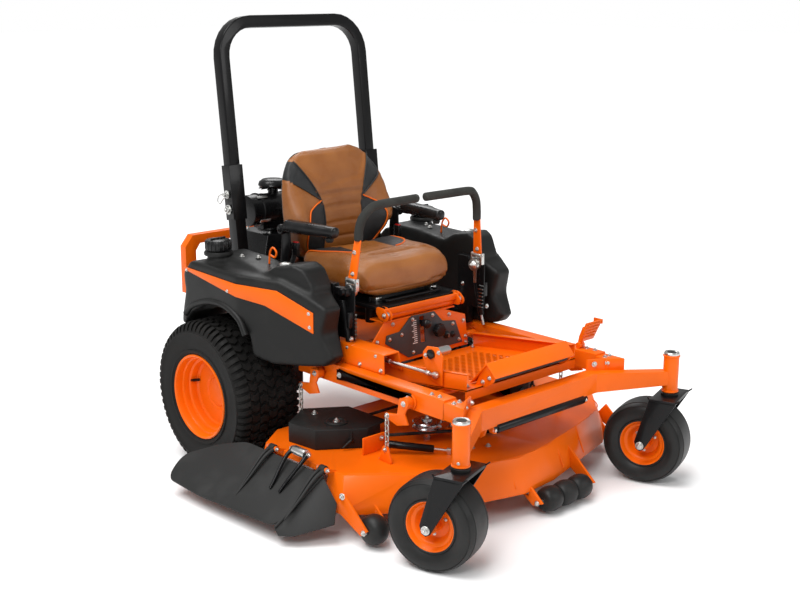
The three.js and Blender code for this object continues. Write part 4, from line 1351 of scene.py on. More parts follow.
@dataclass
class Seat:
    """The seat: its two pads, board, armrests, suspension and front hinge."""

    hinge_y: float = -539.0
    hinge_z: float = 651.0

    def board(self) -> None:
        """Builds the platform with its hinge bar, lugs, rollers and latch."""
        y, z = self.hinge_y, self.hinge_z
        part = pressing("seat_platform", Slot.BLACK, BLACK, 2, 2, [(lambda p: p.z < 667.5, ORANGE)])
        part.add(Shape.box(-205, 205, -566, -556, 662, 686).bevelled(3, 3), ORANGE)
        for side in Side:
            for x in (184, 205):
                a, b = side.span(x, x + 5)
                lug = rounded(
                    [(-582, 640), (-590, 664), (-560, 690), (-520, 690), (-516, 668), (-540, 640)], 12)
                part.add(Shape.plate(Plane.YZ, lug, a, b).bevelled(1), ORANGE)
            part.add(Shape.rod((side.x(189), -566, 662), (side.x(205), -566, 662), 13, 28).bevelled(1.5),
                     ZINC)
            part.bolts([((side.x(210), -566, 662), side.out), ((side.x(182), y, z), side.inward)], 8)
            part.add(Shape.rod((side.x(150), -420, 600), (side.x(150), -420, 676), 21, 24).bevelled(3),
                     PLASTIC)
        for k in range(7):
            r = 66 if k % 2 else 74
            part.add(Shape.rod((0, -250, 566 + k * 15), (0, -250, 581 + k * 15), r, 40,
                               74 if k % 2 else 66), RUBBER)
        part.place()

    def rail_board(self) -> None:
        """Builds the slide rails, the handle under the cushion and the belt with its red latches."""
        part = Part("seat_slides", "seat", Slot.STEEL)
        for side in Side:
            part.add(Shape.box(side.x(150) - 16, side.x(150) + 16, -470, -110, 690.6, 707).bevelled(2),
                     ZINC)
        handle = curve_through([(-140, -470, 700), (-140, -500, 700), (-120, -512, 700), (120, -512, 700),
                                (140, -500, 700), (140, -470, 700)], 5)
        part.add(Shape.swept(handle, 5, 12), BLACK)
        part.place()
        belt = Part("seat_belt", "seat", Slot.PLASTIC)
        for side in Side:
            strap = curve_through(
                side.line([(268, -40, 720), (276, -70, 770), (281, -92, 815), (279, -106, 846)]), 5)
            belt.add(Shape.swept(strap, 13,
                                 8).mapped(lambda p: Vector((side.x(274) + (p.x - side.x(274)) * 0.35, p.y,
                                                             p.z))), CHARCOAL)
            belt.add(Shape.box(side.x(279) - 9, side.x(279) + 9, -132, -100, 838, 892).bevelled(4, 3),
                     SATIN)
            belt.add(Shape.box(side.x(279) - 6, side.x(279) + 6, -130, -104, 890, 896).bevelled(1),
                     RED_GLASS)
        belt.place()

    def armrest(self, side: Side) -> None:
        """Builds one armrest: a moulded pad with a round tip, on its arm and pivot."""
        name = side.label
        part = Part(f"arm_pad_{name}", f"armrest_{name}", Slot.RUBBER, (f"armrest_{name}",))
        path = side.line([(319, -118, 966), (318, -134, 966), (314, -190, 967), (305, -250, 969),
                          (296, -310, 969), (289, -350, 968), (287, -366, 967), (286, -377, 966)])
        radii = [min(31.0, 15 + 8 * k) - 7 * step(k, 14, 24) for k in range(31)] + [23, 21, 18, 13, 6]
        pad = Shape.swept(curve_through(path, 5), radii, 28)
        pad.mapped(lambda p: Vector((p.x, p.y, 967 + 30 * math.tanh((p.z - 967) / 26))))
        part.add(pad, SATIN)
        a, b = side.span(306, 326)
        part.add(Shape.box(a, b, -150, -78, 940, 962).bevelled(4, 3), BLACK)
        part.add(Shape.rod((side.x(304), -78, 946), (side.x(330), -78, 946), 20, 32).bevelled(3, 3), BLACK)
        part.bolts([((side.x(330), -78, 946), side.out)], 9, SATIN)
        part.add(Shape.turned((side.x(290), -340, 944), DOWN, [(0, 0), (15, 0), (17, 6), (13, 16), (0, 17)],
                              24), PLASTIC)
        part.place(50)
        stay = Part(f"arm_bracket_{name}", "seat", Slot.BLACK)
        a, b = side.span(292, 300)
        stay.add(
            Shape.plate(Plane.YZ, rounded([(-100, 960), (-104, 860), (-60, 720), (-30, 720), (-46, 860),
                                           (-56, 966)], 14), a, b).bevelled(1.5), BLACK)
        a, b = side.span(236, 300)
        stay.add(Shape.box(a, b, -66, -26, 712, 722).bevelled(2), BLACK)
        stay.place()

    def build(self) -> None:
        """Builds the seat."""
        self.board()
        self.rail_board()
        for side in Side:
            self.armrest(side)
        SeatCushion().build()
        SeatBack().build()


@dataclass
class Levers:
    """The two drive levers with their foam grips, hubs and stands."""

    swing_y: float = -531.0
    swing_z: float = 815.0
    pivot: tuple[float, float] = (-520.0, 776.0)

    def lever(self, side: Side) -> None:
        """Builds the bent bar and the grip."""
        name, y, z = side.label, self.swing_y, self.swing_z
        part = Part(f"drive_lever_{name}", f"control_lever_{name}", Slot.ORANGE, (f"control_lever_{name}",))
        bar = rounded([(y - 22, z - 8), (y + 22, z - 8), (y + 3, 974), (y - 30, 1002)], 7)
        blade = Shape.plate(Plane.YZ, bar, -4, 4).bevelled(1.2)
        blade.mapped(lambda p: Vector((side.x(342 - (p.z - z) * 22 / 175) + p.x, p.y, p.z))).closed()
        part.add(blade, ORANGE)
        for along in (0.16, 0.62):
            at = (side.x(342 - 22 * along + 4), y - 4, z + 175 * along)
            part.bolts([(at, side.out), ((at[0] - side.x(8), at[1], at[2]), side.inward)], 7)
        bend = [(320, y - 13, 968), (318, y - 14, 1010), (306, y - 20, 1052), (276, y - 30, 1086),
                (240, y - 39, 1099), (140, y - 28, 1098), (26, y - 16, 1096)]
        line = curve_through([(side.x(a), b, c) for a, b, c in bend], 7)
        tip = Vector(line[-1]) - Vector(line[-2])
        line += [tuple(Vector(line[-1]) + tip.normalized() * d) for d in (4, 7, 9)]
        radii = [15, *[17] * (len(line) - 4), 15.5, 12, 6]
        part.add(Shape.swept(line, radii, 24), FOAM)
        part.add(Shape.rod((side.x(342), y - 24, z), (side.x(342), y + 24, z), 11, 24).bevelled(1.5), ZINC)
        part.bolts([((side.x(342), y - 24, z), AHEAD), ((side.x(342), y + 24, z), (0, 1, 0))], 8)
        part.place()

    def hub(self, side: Side) -> None:
        """Builds the cast hub that the lever swings on."""
        name = side.label
        part = pressing(f"lever_hub_{name}", Slot.STEEL, ZINC, 3, 3)
        y, z = self.pivot
        part.add(Shape.turned((side.x(333), y, z), side.inward,
                              [(0, 0), (25, 0), (25, 6), (15, 8), (14, 14), (0, 14)], 36), ZINC)
        part.bolts([((side.x(319), y, z), side.inward)], 8)
        part.place()

    def punched_strip(self, x: float, y0: float, y1: float, z0: float, z1: float, holes: int) -> Shape:
        """Returns: an upright strip with a row of square holes."""
        shape = Shape()
        bmesh.ops.create_grid(shape.bm, x_segments=1, y_segments=holes, size=0.5)
        for vert in shape.bm.verts:
            vert.co = Vector((x, y0 + (vert.co.x + 0.5) * (y1 - y0), z0 + (vert.co.y + 0.5) * (z1 - z0)))
        cells = shape.bm.faces[:]
        bmesh.ops.inset_individual(shape.bm, faces=cells, thickness=(y1 - y0) * 0.28)
        bmesh.ops.delete(shape.bm, geom=cells, context="FACES")
        bmesh.ops.solidify(shape.bm, geom=shape.bm.faces[:], thickness=3)
        return shape

    def stand(self, side: Side) -> None:
        """Builds the stand with its cover, damper, switch and punched adjuster strips."""
        name = side.label
        part = pressing(f"lever_stand_{name}", Slot.BLACK, BLACK, 2)
        part.add(self.punched_strip(side.x(350), -560, -536, 600, 690, 6), ZINC)
        part.add(Shape.rod((side.x(362), -540, 560), (side.x(362), -500, 740), 13, 24).bevelled(2), BLACK)
        part.add(Shape.rod((side.x(362), -538, 570), (side.x(362), -552, 520), 6, 16), ZINC)
        part.bolts([((side.x(351), -440, z), side.inward) for z in (610, 680)], 7)
        part.bolts([((side.x(372), -560, 600), AHEAD)], 7)
        part.add(Shape.box(side.x(368) - 12, side.x(368) + 12, -556, -541, 640, 700).bevelled(3), SATIN)
        part.place()

    def build(self) -> None:
        """Builds both sides' controls."""
        for side in Side:
            self.lever(side)
            self.hub(side)
            self.stand(side)
# ---------------------------------------------------------------- console and lift linkage


@dataclass
class Console:
    """The panel under the seat, its height dial plate, the pin, the knob and the lift linkage."""

    front: float = -549.6
    slot_ticks: int = 12

    def panel(self) -> None:
        """Builds the orange panel with its bolts and the ledge behind its top edge."""
        part = pressing("console_panel", Slot.ORANGE, ORANGE, 1.5)
        part.bolts([((x, self.front, z), AHEAD)
                    for x, z in ((-232, 500), (-232, 556), (-150, 614), (160, 600), (244, 560), (258, 490),
                                 (262, 465))], 7)
        part.add(Shape.box(-200, 190, -552, -470, 626, 632).bevelled(1.5), ORANGE)
        part.place()

    def plate(self) -> None:
        """Builds the dial plate: a slot with a row of ticks, screws, and a key switch."""
        part = pressing("control_plate", Slot.PANEL, PANEL, 0.8)
        y = -556.2
        for k in range(self.slot_ticks):
            z = 518 + k * 8.4
            reach = 13 if k % 3 == 0 else 9
            x = -20 - (z - 512) * 0.1
            part.add(Shape.box(x - reach * 2, x, y, y + 0.8, z - 1.6, z + 1.6), WHITE_INK)
        part.bolts([((x, y, z), AHEAD)
                    for x, z in ((-172, 558), (-108, 566), (-44, 482), (38, 479), (176, 560), (214, 488),
                                 (60, 616), (-50, 618))], 6)
        for x, z, r in ((140, 520, 13), (176, 516, 10)):
            part.add(Shape.turned((x, y, z), AHEAD,
                                  [(0, 0), (r + 3, 0), (r + 3, 3), (r, 5), (r - 2, 9), (0, 9)], 28), SATIN)
        part.add(Shape.box(138.8, 141.2, y - 16, y - 8, 512, 528).bevelled(1), ZINC)
        part.place()

    def pin_and_knob(self) -> None:
        """Builds the height pin with its grip and the tension knob."""
        pin = pressing("height_pin", Slot.BLACK, BLACK, 2)
        pin.add(Shape.turned((2.6, -566, 596), AHEAD,
                             [(0, 0), (12, 0), (14, 4), (19, 14), (19, 24), (14, 30), (0, 31)], 32), SATIN)
        pin.place()
        knob = pressing("tension_knob", Slot.PLASTIC, SATIN, 3, 3)
        for k in range(6):
            a = math.tau * k / 6
            at = (81 + 22 * math.cos(a), 554 + 22 * math.sin(a))
            knob.add(Shape.rod((at[0], -588, at[1]), (at[0], -565, at[1]), 6, 12).bevelled(1.5), SATIN)
        knob.place()

    def linkage(self) -> None:
        """Builds the cover, the rod, the rocker and the pedal that raise the deck."""
        cover = pressing("link_housing", Slot.ORANGE, ORANGE, 2.5, 3)
        cover.bolts([((-400, y, 524), (-1, 0, 0)) for y in (-520, -640, -756)], 7)
        cover.bolts([((-394, -560, 572), (-0.97, 0, 0.2)), ((-394, -720, 572), (-0.97, 0, 0.2))], 5)
        cover.add(Shape.box(-384, -378, -745, -600, 514, 560).bevelled(2), CASTING)
        cover.place()
        rod = pressing("lift_rod", Slot.STEEL, ZINC, 1)
        rod.add(Shape.rod((-370, -705, 548), (-330, -705, 548), 12, 24).bevelled(1.5), ZINC)
        for share in (0.12, 0.86):
            at = Vector((-346 + 23 * share, -705 - 257 * share, 548 - 8 * share))
            way = Vector((23, -257, -8)).normalized()
            rod.add(Shape.rod(at - way * 9, at + way * 9, 9.5, 6).bevelled(1), ZINC)
        rod.place()
        rocker = pressing("lift_rocker", Slot.ORANGE, ORANGE, 2.5, 3, [(lambda p: p.x > -300, ZINC)])
        rocker.add(Shape.turned((-312, -930, 610), (-1, 0, 0),
                                [(0, 0), (17, 0), (18, 8), (12, 12), (0, 12)], 32), SATIN)
        rocker.bolts([((-312, -962, 540), (-1, 0, 0)), ((-312, -966, 622), (-1, 0, 0)),
                      ((-312, -900, 600), (-1, 0, 0))], 6)
        rocker.place()
        pedal = pressing("lift_pedal", Slot.ORANGE, ORANGE, 1.5)
        for k in range(5):
            z = 554 + k * 13
            y = -1041 - (z - 540) * 0.28
            pedal.add(Shape.box(410 + k, 478 + k * 4, y - 3.4, y, z, z + 4).bevelled(1), ORANGE)
        pedal.bolts([((416, -1028, 524), (1, 0, 0))], 9)
        pedal.place()

    def build(self) -> None:
        """Builds the console."""
        self.panel()
        self.plate()
        self.pin_and_knob()
        self.linkage()


# ---------------------------------------------------------------- cutting deck


@dataclass
class Deck:
    """The cutting deck with its covers, belt, spindles, rollers, chute, hangers and chains."""

    middle: float = 15.0
    top: float = 225.0
    spindle_x: float = 490.0
    spindle_y: float = -590.0
    middle_y: float = -890.0
    hanger_y: tuple[float, float] = (-968.0, -478.0)
    tip_reach: float = 96.0
    link: float = 13.0

    def shell(self) -> None:
        """Builds the shell with its seams, ribs, tabs, plug and damper."""
        part = pressing("deck_shell", Slot.ORANGE, ORANGE, 2.5, 3)
        top = self.top
        seam = curve_through([(-660, -870, top), (-470, -1020, top), (-250, -1120, top), (-100, -1160, top),
                              (80, -1148, top), (520, -1030, top), (650, -910, top)], 8)
        part.add(Shape.swept(seam, 2.6, 8), ORANGE)
        for x, y, far in ((-140, -1150, -1196), (150, -1130, -1178), (330, -1085, -1128)):
            part.add(Shape.rod((x, y, top - 4), (x + 4, far, 122), 3.0, 10), ORANGE)
        part.add(Shape.turned((190, -905, top), UP, [(0, 0), (34, 0), (35, 3), (31, 5), (0, 4)], 40), SATIN)
        part.bolts([((-470, -838, top + 1), UP), ((-150, -985, top), UP), ((-92, -1012, top), UP),
                    ((360, -840, top), UP), ((-40, -700, top), UP), ((80, -700, top), UP)], 9)
        part.bolts([((-718, -905, 168), (-1, -0.2, 0.1))], 9)
        for s in (-1, 1):
            x = self.middle + s * 682
            part.bolts([((x + d * 50, -1015, 66), (d, 0, 0)) for d in (-1, 1)], 8)
        part.bolts([((-67, -1238, 58), (-1, 0, 0)), ((243, -1238, 58), (1, 0, 0))], 8)
        front, rear = (y + self.tip_reach for y in self.hanger_y)
        for side in Side:
            for y in (front, rear):
                a, b = side.span(478, 486)
                tab = rounded([(y - 34, top), (y + 34, top), (y + 12, top + 62), (y - 12, top + 62)], 9)
                part.add(Shape.plate(Plane.YZ, tab, a, b).bevelled(1.2), ORANGE)
                part.bolts([((side.x(486), y, top + 48), side.out)], 7)
        box = rounded([(-500, top), (-500, top + 66), (-392, top + 66), (-372, top)], 4)
        part.add(Shape.plate(Plane.XZ, box, -770, -764).bevelled(1.2), ORANGE)
        part.bolts([((-410, -770, top + 46), AHEAD)], 8)
        damper = ((-418, -815, 262), (-300, -935, 246), (-262, -974, 240))
        part.add(Shape.rod(damper[0], damper[1], 14, 24).bevelled(2.5), BLACK)
        part.add(Shape.rod(damper[1], damper[2], 5, 16), ZINC)
        for seat in (damper[0], damper[2]):
            part.add(Shape.rod((seat[0], seat[1], top - 2), (seat[0], seat[1], seat[2] + 10), 8,
                               20).bevelled(1.5), ZINC)
        part.place()

    def drive(self) -> None:
        """Builds the spindles, the idler and the belt round the pulleys."""
        for name in ("centre", "right", "left"):
            part = pressing(f"spindle_{name}", Slot.STEEL, CASTING, 1, 1,
                            [(lambda p: p.z < 135, BARE_STEEL), (lambda p: p.z > 276, ZINC)])
            part.place()
        at = [(self.middle - self.spindle_x, self.spindle_y), (self.middle, self.middle_y),
              (self.middle + self.spindle_x, self.spindle_y)]
        part = Part("deck_belt", "deck", Slot.RUBBER)
        r, z = 70, 262
        line = [*arc(at[0], r, 110, 239, 10), *arc(at[1], r, 239, 301, 6), *arc(at[2], r, 301, 430, 10)]
        low = Vector(line[0]), Vector(line[-1])
        line += [tuple(low[1] * (1 - k / 6) + low[0] * k / 6) for k in range(1, 6)]
        ring = [(x, y, z) for x, y in line]
        part.add(Shape.swept([*ring, ring[0]], 6.5, 6), BELT)
        part.place()
        idler = Part("idler", "deck", Slot.STEEL)
        seat = (-205, -800, 225)
        profile = [(0, 0), (14, 0), (14, 46), (52, 46), (56, 50), (50, 54), (46, 60), (50, 66), (56, 70),
                   (52, 74), (20, 74), (18, 82), (0, 82)]
        idler.add(Shape.turned(seat, UP, profile, 56), BARE_STEEL)
        idler.add(Shape.box(-218, -60, -812, -788, 236, 244).bevelled(3), ORANGE)
        idler.bolts([((-205, -800, 307), UP), ((-75, -800, 244), UP)], 9)
        coil = [(-150 + k * 1.3, -760 + 10 * math.cos(k * 0.8), 262 + 10 * math.sin(k * 0.8))
                for k in range(90)]
        idler.add(Shape.swept(coil, 2.2, 8), ZINC)
        idler.place()

    def covers(self) -> None:
        """Builds the two belt covers with their pressed creases and spindle caps."""
        for side in Side:
            x = self.middle + side.x(self.spindle_x)
            part = pressing(f"belt_cover_{side.label}", Slot.BLACK, PLASTIC, 5, 3)
            part.add(
                Shape.turned((x, self.spindle_y, 302), UP,
                             [(0, -4), (44, -4), (44, 3), (36, 7), (30, 7), (28, 3), (0, 3)], 40), PLASTIC)
            part.bolts([((x, self.spindle_y, 305), UP), ((x, self.spindle_y + 130, 302), UP)], 10)
            low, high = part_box(f"belt_cover_{side.label}")
            low, high = FROM_ROW @ low, FROM_ROW @ high
            hub = Vector((x + side.x(16), low.y + 28, 262))
            for way in ((0, 0, 34), (side.x(32), 12, -26), (side.x(-32), 10, -26)):
                part.add(Shape.rod(hub, hub + Vector(way), 6, 12, 3), PLASTIC)
            part.place()

    def chute(self) -> None:
        """Builds the flexible chute with its ribs, hinge and sprung roller."""
        part = Part("discharge_chute", "chute", Slot.RUBBER, ("chute",))
        outline = rounded([(-722, -352), (-722, -812), (-912, -771), (-930, -330), (-932, -128),
                           (-850, -112), (-770, -236)], 38, 6)
        sheet = Shape.plate(Plane.XY, outline, -7, 0).bevelled(1.5)
        sheet.mapped(lambda p: p + Vector((0, 0, 222 + (p.x + 724) * 0.785 + max(0, p.y + 330) * 0.06)))
        part.add(sheet, CHUTE_RUBBER)
        corners = [Vector(c) for c in ((-724, -808, 217), (-912, -766, 66), (-915, -790, 44),
                                       (-880, -836, 46), (-764, -916, 80), (-727, -886, 140))]
        lip = Shape()
        face = lip.bm.faces.new([lip.bm.verts.new(c) for c in corners])
        bmesh.ops.poke(lip.bm, faces=[face])
        bmesh.ops.solidify(lip.bm, geom=lip.bm.faces[:], thickness=6)
        part.add(lip.closed().bevelled(1.5, 2, 50), CHUTE_RUBBER)
        fold = [(-724 - 188 * k / 8, -810 + 40 * k / 8, 220 - 152 * k / 8) for k in range(9)]
        part.add(Shape.swept(fold, 5, 12), CHUTE_RUBBER)
        for y in (-795, -506):
            for way in (-1, 1):
                rib = [(-712, y + way * 12, 238), (-760, y + way * 9, 214), (-830, y + way * 5, 150),
                       (-888, y, 97)]
                part.add(Shape.swept(curve_through(rib, 5), [9 - 6.5 * k / 15 for k in range(16)], 12),
                         CHUTE_RUBBER)
            part.add(Shape.rod((-712, y - 14, 237), (-712, y + 14, 237), 15, 28).bevelled(2.5),
                     CHUTE_RUBBER)
            part.bolts([((-712, y - 24, 237), AHEAD), ((-712, y + 24, 237), (0, 1, 0))], 7)
        y = -660
        part.add(Shape.rod((-706, y - 34, 262), (-706, y + 34, 262), 17, 32).bevelled(2), ZINC)
        for way in (-1, 1):
            arm = curve_through([(-706, y + way * 42, 262), (-740, y + way * 44, 238),
                                 (-800, y + way * 30, 176), (-826, y + way * 26, 148)], 5)
            part.add(Shape.swept(arm, [9, 9, 8.5, 8, 8, 7.5, 7.5, 7, 7, 7, 6.5, 6.5, 6, 6, 6, 5.5], 14),
                     BLACK)
            part.bolts([((-706, y + way * 46, 262), (0, way, 0))], 9)
        part.place()

    def rollers(self) -> None:
        """Builds the rubber rollers under the deck's edge."""
        ball = [(7, -41), (30, -41), (38, -37), (44, -26), (47, -12), (48, 0), (47, 12), (44, 26), (38, 37),
                (30, 41), (7, 41)]
        front = Part("nose_rollers", "front_rollers", Slot.RUBBER, ("front_rollers",))
        for k in range(3):
            front.add(Shape.turned((4 + 84 * k, -1238, 58), (1, 0, 0), ball, 48), RUBBER)
        front.add(Shape.rod((-55, -1238, 58), (231, -1238, 58), 7, 20), ZINC)
        front.place()
        wheel = [(6, -39), (30, -39), (42, -33), (50, -22), (54, -10), (54, 10), (50, 22), (42, 33),
                 (30, 39), (6, 39)]
        for side in Side:
            part = Part(f"edge_roller_{side.label}", f"side_roller_{side.label}", Slot.RUBBER,
                        (f"side_roller_{side.label}",))
            x = self.middle + side.x(682)
            part.add(Shape.turned((x, -1015, 66), (1, 0, 0), wheel, 48), RUBBER)
            part.add(Shape.rod((x - 41.5, -1015, 66), (x + 41.5, -1015, 66), 8, 20), ZINC)
            part.place()

    def hangers(self) -> None:
        """Builds the hanger shafts and the chains that the deck hangs on."""
        for name, y in zip(("front", "rear"), self.hanger_y):
            part = pressing(f"hanger_{name}", Slot.ORANGE, ORANGE, 2)
            for side in Side:
                part.bolts([((side.x(486), y, 470), side.out), ((side.x(486), y + 84, 406), side.out)], 8)
                part.add(Shape.rod((side.x(455), y, 470), (side.x(480), y, 470), 22, 28).bevelled(2),
                         ORANGE)
            part.place()
            for side in Side:
                chain = Part(f"chain_{name}_{side.label}", "deck", Slot.STEEL)
                for k in range(6):
                    chain.add(self.chain_link(Vector((side.x(482), y + self.tip_reach - 6, 396 - k * 20.5)),
                                              k % 2), CHAIN_STEEL)
                chain.place(60)

    def chain_link(self, at: Vector, turned: int) -> Shape:
        """Returns: one oval link, which every second time is turned across."""
        loop = [*arc((0, 6.5), 7, 0, 180, 6), *arc((0, -6.5), 7, 180, 360, 6)]
        loop.append(loop[0])
        path = [at + (Vector((u, 0, v)) if turned else Vector((0, u, v))) for u, v in loop]
        return Shape.swept(path, 2.8, 8)

    def build(self) -> None:
        """Builds the deck."""
        self.shell()
        self.drive()
        self.covers()
        self.chute()
        self.rollers()
        self.hangers()


# ---------------------------------------------------------------- tanks, engine and roll bar


@dataclass
class Bodywork:
    """The two tank mouldings with their coloured panels, caps and fittings."""

    cap_at: tuple[float, float] = (560.0, 20.0)

    def tank(self, side: Side) -> None:
        """Builds one tank."""
        name = side.label
        part = Part(f"tank_moulding_{name}", "chassis", Slot.PLASTIC, (f"fuel_tank_{name}",))
        part.add(Shape.of_node(f"fuel_tank_{name}").softened(7.0, 14), PLASTIC)
        x, y = self.cap_at
        part.add(Shape.turned((side.x(x), y, 862), UP, [(0, 0), (56, 0), (58, 8), (54, 16), (0, 16)], 48),
                 PLASTIC)
        part.add(Shape.turned((side.x(500), -330, 868), UP, [(0, 0), (24, 0), (24, 4), (16, 8), (0, 9)],
                              32), ZINC)
        loop = curve_through(side.line([(470, -190, 846), (470, -196, 890), (470, -214, 912),
                                        (470, -236, 898), (470, -226, 876), (470, -200, 880)]), 6)
        part.add(Shape.swept(loop, 4, 10), ORANGE)
        part.bolts([((side.x(505), -60, 858), UP), ((side.x(470), -120, 858), UP)], 8)
        ribs = [(side.x(640), y0, z0) for y0, z0 in ((-250, 600), (-210, 655), (-120, 692), (-10, 690),
                                                     (95, 655), (150, 610))]
        arch = curve_through([(p[0] - side.x(4), p[1], p[2]) for p in ribs], 8)
        part.add(Shape.swept(arch, 13, 14), PLASTIC)
        part.place(45)

    def stripe(self, side: Side) -> None:
        """Builds the coloured panel with its screws."""
        part = pressing(f"stripe_panel_{side.label}", Slot.ORANGE, ORANGE, 1)
        for y, z in ((122, 795), (-150, 757), (-505, 716), (-508, 664)):
            x = 644 if y > -200 else 644 - 144.8 * (-200 - y) / 400
            part.bolts([((side.x(x), y, z), (side.value, -0.35 if y < -200 else 0, 0))], 5)
        part.place()

    def cap(self, side: Side) -> None:
        """Builds the ribbed screw cap."""
        name = side.label
        part = Part(f"screw_cap_{name}", f"fuel_cap_{name}", Slot.PLASTIC, (f"fuel_cap_{name}",))
        x, y = side.x(self.cap_at[0]), self.cap_at[1]
        part.add(Shape.turned((x, y, 881.5), UP,
                              [(0, 0), (47, 0), (50, 4), (50, 34), (46, 40), (30, 43), (0, 43)], 64), SATIN)
        for k in range(18):
            a = math.tau * k / 18
            at = (x + 49 * math.cos(a), y + 49 * math.sin(a))
            part.add(Shape.rod((*at, 884), (*at, 919), 4.2, 8).bevelled(1.2, 1), SATIN)
        part.add(Shape.box(x - 34, x + 34, y - 5, y + 5, 923, 931).bevelled(3, 3), SATIN)
        part.place()

    def build(self) -> None:
        """Builds both sides."""
        for side in Side:
            self.tank(side)
            self.stripe(side)
            self.cap(side)


@dataclass
class Engine:
    """The engine with its finned cylinders, blower housing, air filter and muffler."""

    fins: int = 9

    def block(self) -> None:
        """Builds the crankcase, fins, rocker covers, oil filter and muffler."""
        part = pressing("engine_block", Slot.CAST, CASTING, 4, 3)
        for s in (-1, 1):
            for k in range(self.fins):
                lean = Vector((s * (56 + 16 * k), 0, 740 - 13 * k))
                fin = Shape.box(-26, 26, 176, 344, -2.2, 2.2).bevelled(1, 1)
                fin.moved(Matrix.Translation(lean) @ Matrix.Rotation(s * 0.9, 4, "Y"))
                part.add(fin, CASTING)
            part.add(Shape.box(s * 196 - 22, s * 196 + 22, 214, 306, 566, 676).bevelled(8, 3), BARE_STEEL)
            part.bolts([((s * 218, y, z), (s, 0, 0)) for y in (226, 294) for z in (580, 662)], 7)
            pipe = curve_through(
                [(s * 170, 330, 600), (s * 190, 400, 590), (s * 180, 470, 580), (s * 130, 505, 560)], 6)
            part.add(Shape.swept(pipe, 17, 18), CHAIN_STEEL)
        part.add(Shape.rod((-190, 510, 520), (190, 510, 520), 56, 48).bevelled(8, 3), BLACK)
        for x in (-120, 0, 120):
            part.add(Shape.turned((x, 510, 520), (1, 0, 0), [(55, -5), (59, -4), (59, 4), (55, 5)], 48),
                     ZINC)
        part.add(Shape.rod((120, 150, 600), (120, 60, 600), 38, 36).bevelled(5, 3), WHITE_INK)
        part.add(Shape.rod((-90, 170, 640), (-90, 120, 640), 30, 30).bevelled(3), CASTING)
        part.place()

    def shroud(self) -> None:
        """Builds the blower housing with its screened intake."""
        part = pressing("engine_shroud", Slot.BLACK, SATIN, 12, 4)
        part.add(
            Shape.turned((0, 340, 885), UP,
                         [(0, 0), (104, 0), (108, 6), (104, 14), (96, 16), (92, 10), (0, 10)], 56), PLASTIC)
        for k in range(24):
            a = math.tau * k / 24
            rib = Shape.box(28, 92, -1.6, 1.6, 0, 14)
            rib.moved(Matrix.Translation((0, 340, 892)) @ Matrix.Rotation(a, 4, "Z"))
            part.add(rib, PLASTIC)
        for radius in (28, 60, 92):
            part.add(
                Shape.turned((0, 340, 892), UP,
                             [(radius, 10), (radius + 3, 10), (radius + 3, 15), (radius, 15)], 48), PLASTIC)
        part.bolts([((s * 150, y, 862), UP) for s in (-1, 1) for y in (225, 380)], 7)
        part.place()

    def filter(self) -> None:
        """Builds the canister with its bellows, clips, duct and rain cap."""
        part = Part("air_cleaner", "chassis", Slot.PLASTIC, ("air_filter",))
        steps = [(0, -150), (60, -150), (66, -146), (66, -100), (71, -96), (71, -92), (66, -88), (66, -60),
                 (64, -58), (64, 30)]
        for k in range(6):
            steps += [(58, 38 + 18 * k), (66, 47 + 18 * k)]
        steps += [(58, 146), (50, 150), (0, 150)]
        part.add(Shape.turned((-105, 250, 968), (-1, 0, 0), [(r, -t) for r, t in steps][::-1], 56), SATIN)
        for k in range(4):
            a = math.tau * k / 4 + 0.6
            at = Vector((-196, 250 + 70 * math.cos(a), 968 + 70 * math.sin(a)))
            part.add(Shape.box(-26, 26, -7, 7, -2,
                               3).bevelled(1).moved(Matrix.Translation(at)
                                                    @ Matrix.Rotation(a - math.pi / 2, 4, "X")), ZINC)
        part.add(Shape.box(-190, 20, 215, 285, 885.5, 918).bevelled(4), BLACK)
        part.add(Shape.turned((-109, 250, 1028), UP,
                              [(0, 0), (22, 0), (22, 24), (26, 28), (60, 32), (63, 38), (58, 52), (44, 62),
                               (0, 63)], 48), SATIN)
        for k in range(12):
            a = math.tau * k / 12
            rib = Shape.box(24, 61, -1.5, 1.5, 30,
                            34).moved(Matrix.Translation((-109, 250, 1020)) @ Matrix.Rotation(a, 4, "Z"))
            part.add(rib, SATIN)
        duct = curve_through(
            [(48, 250, 968), (90, 262, 965), (120, 300, 940), (120, 330, 900), (110, 345, 880)], 8)
        part.add(Shape.swept(duct, [34 - 3 * (k % 2) for k in range(33)], 28), RUBBER)
        part.place()

    def build(self) -> None:
        """Builds the engine."""
        self.block()
        self.shroud()
        self.filter()


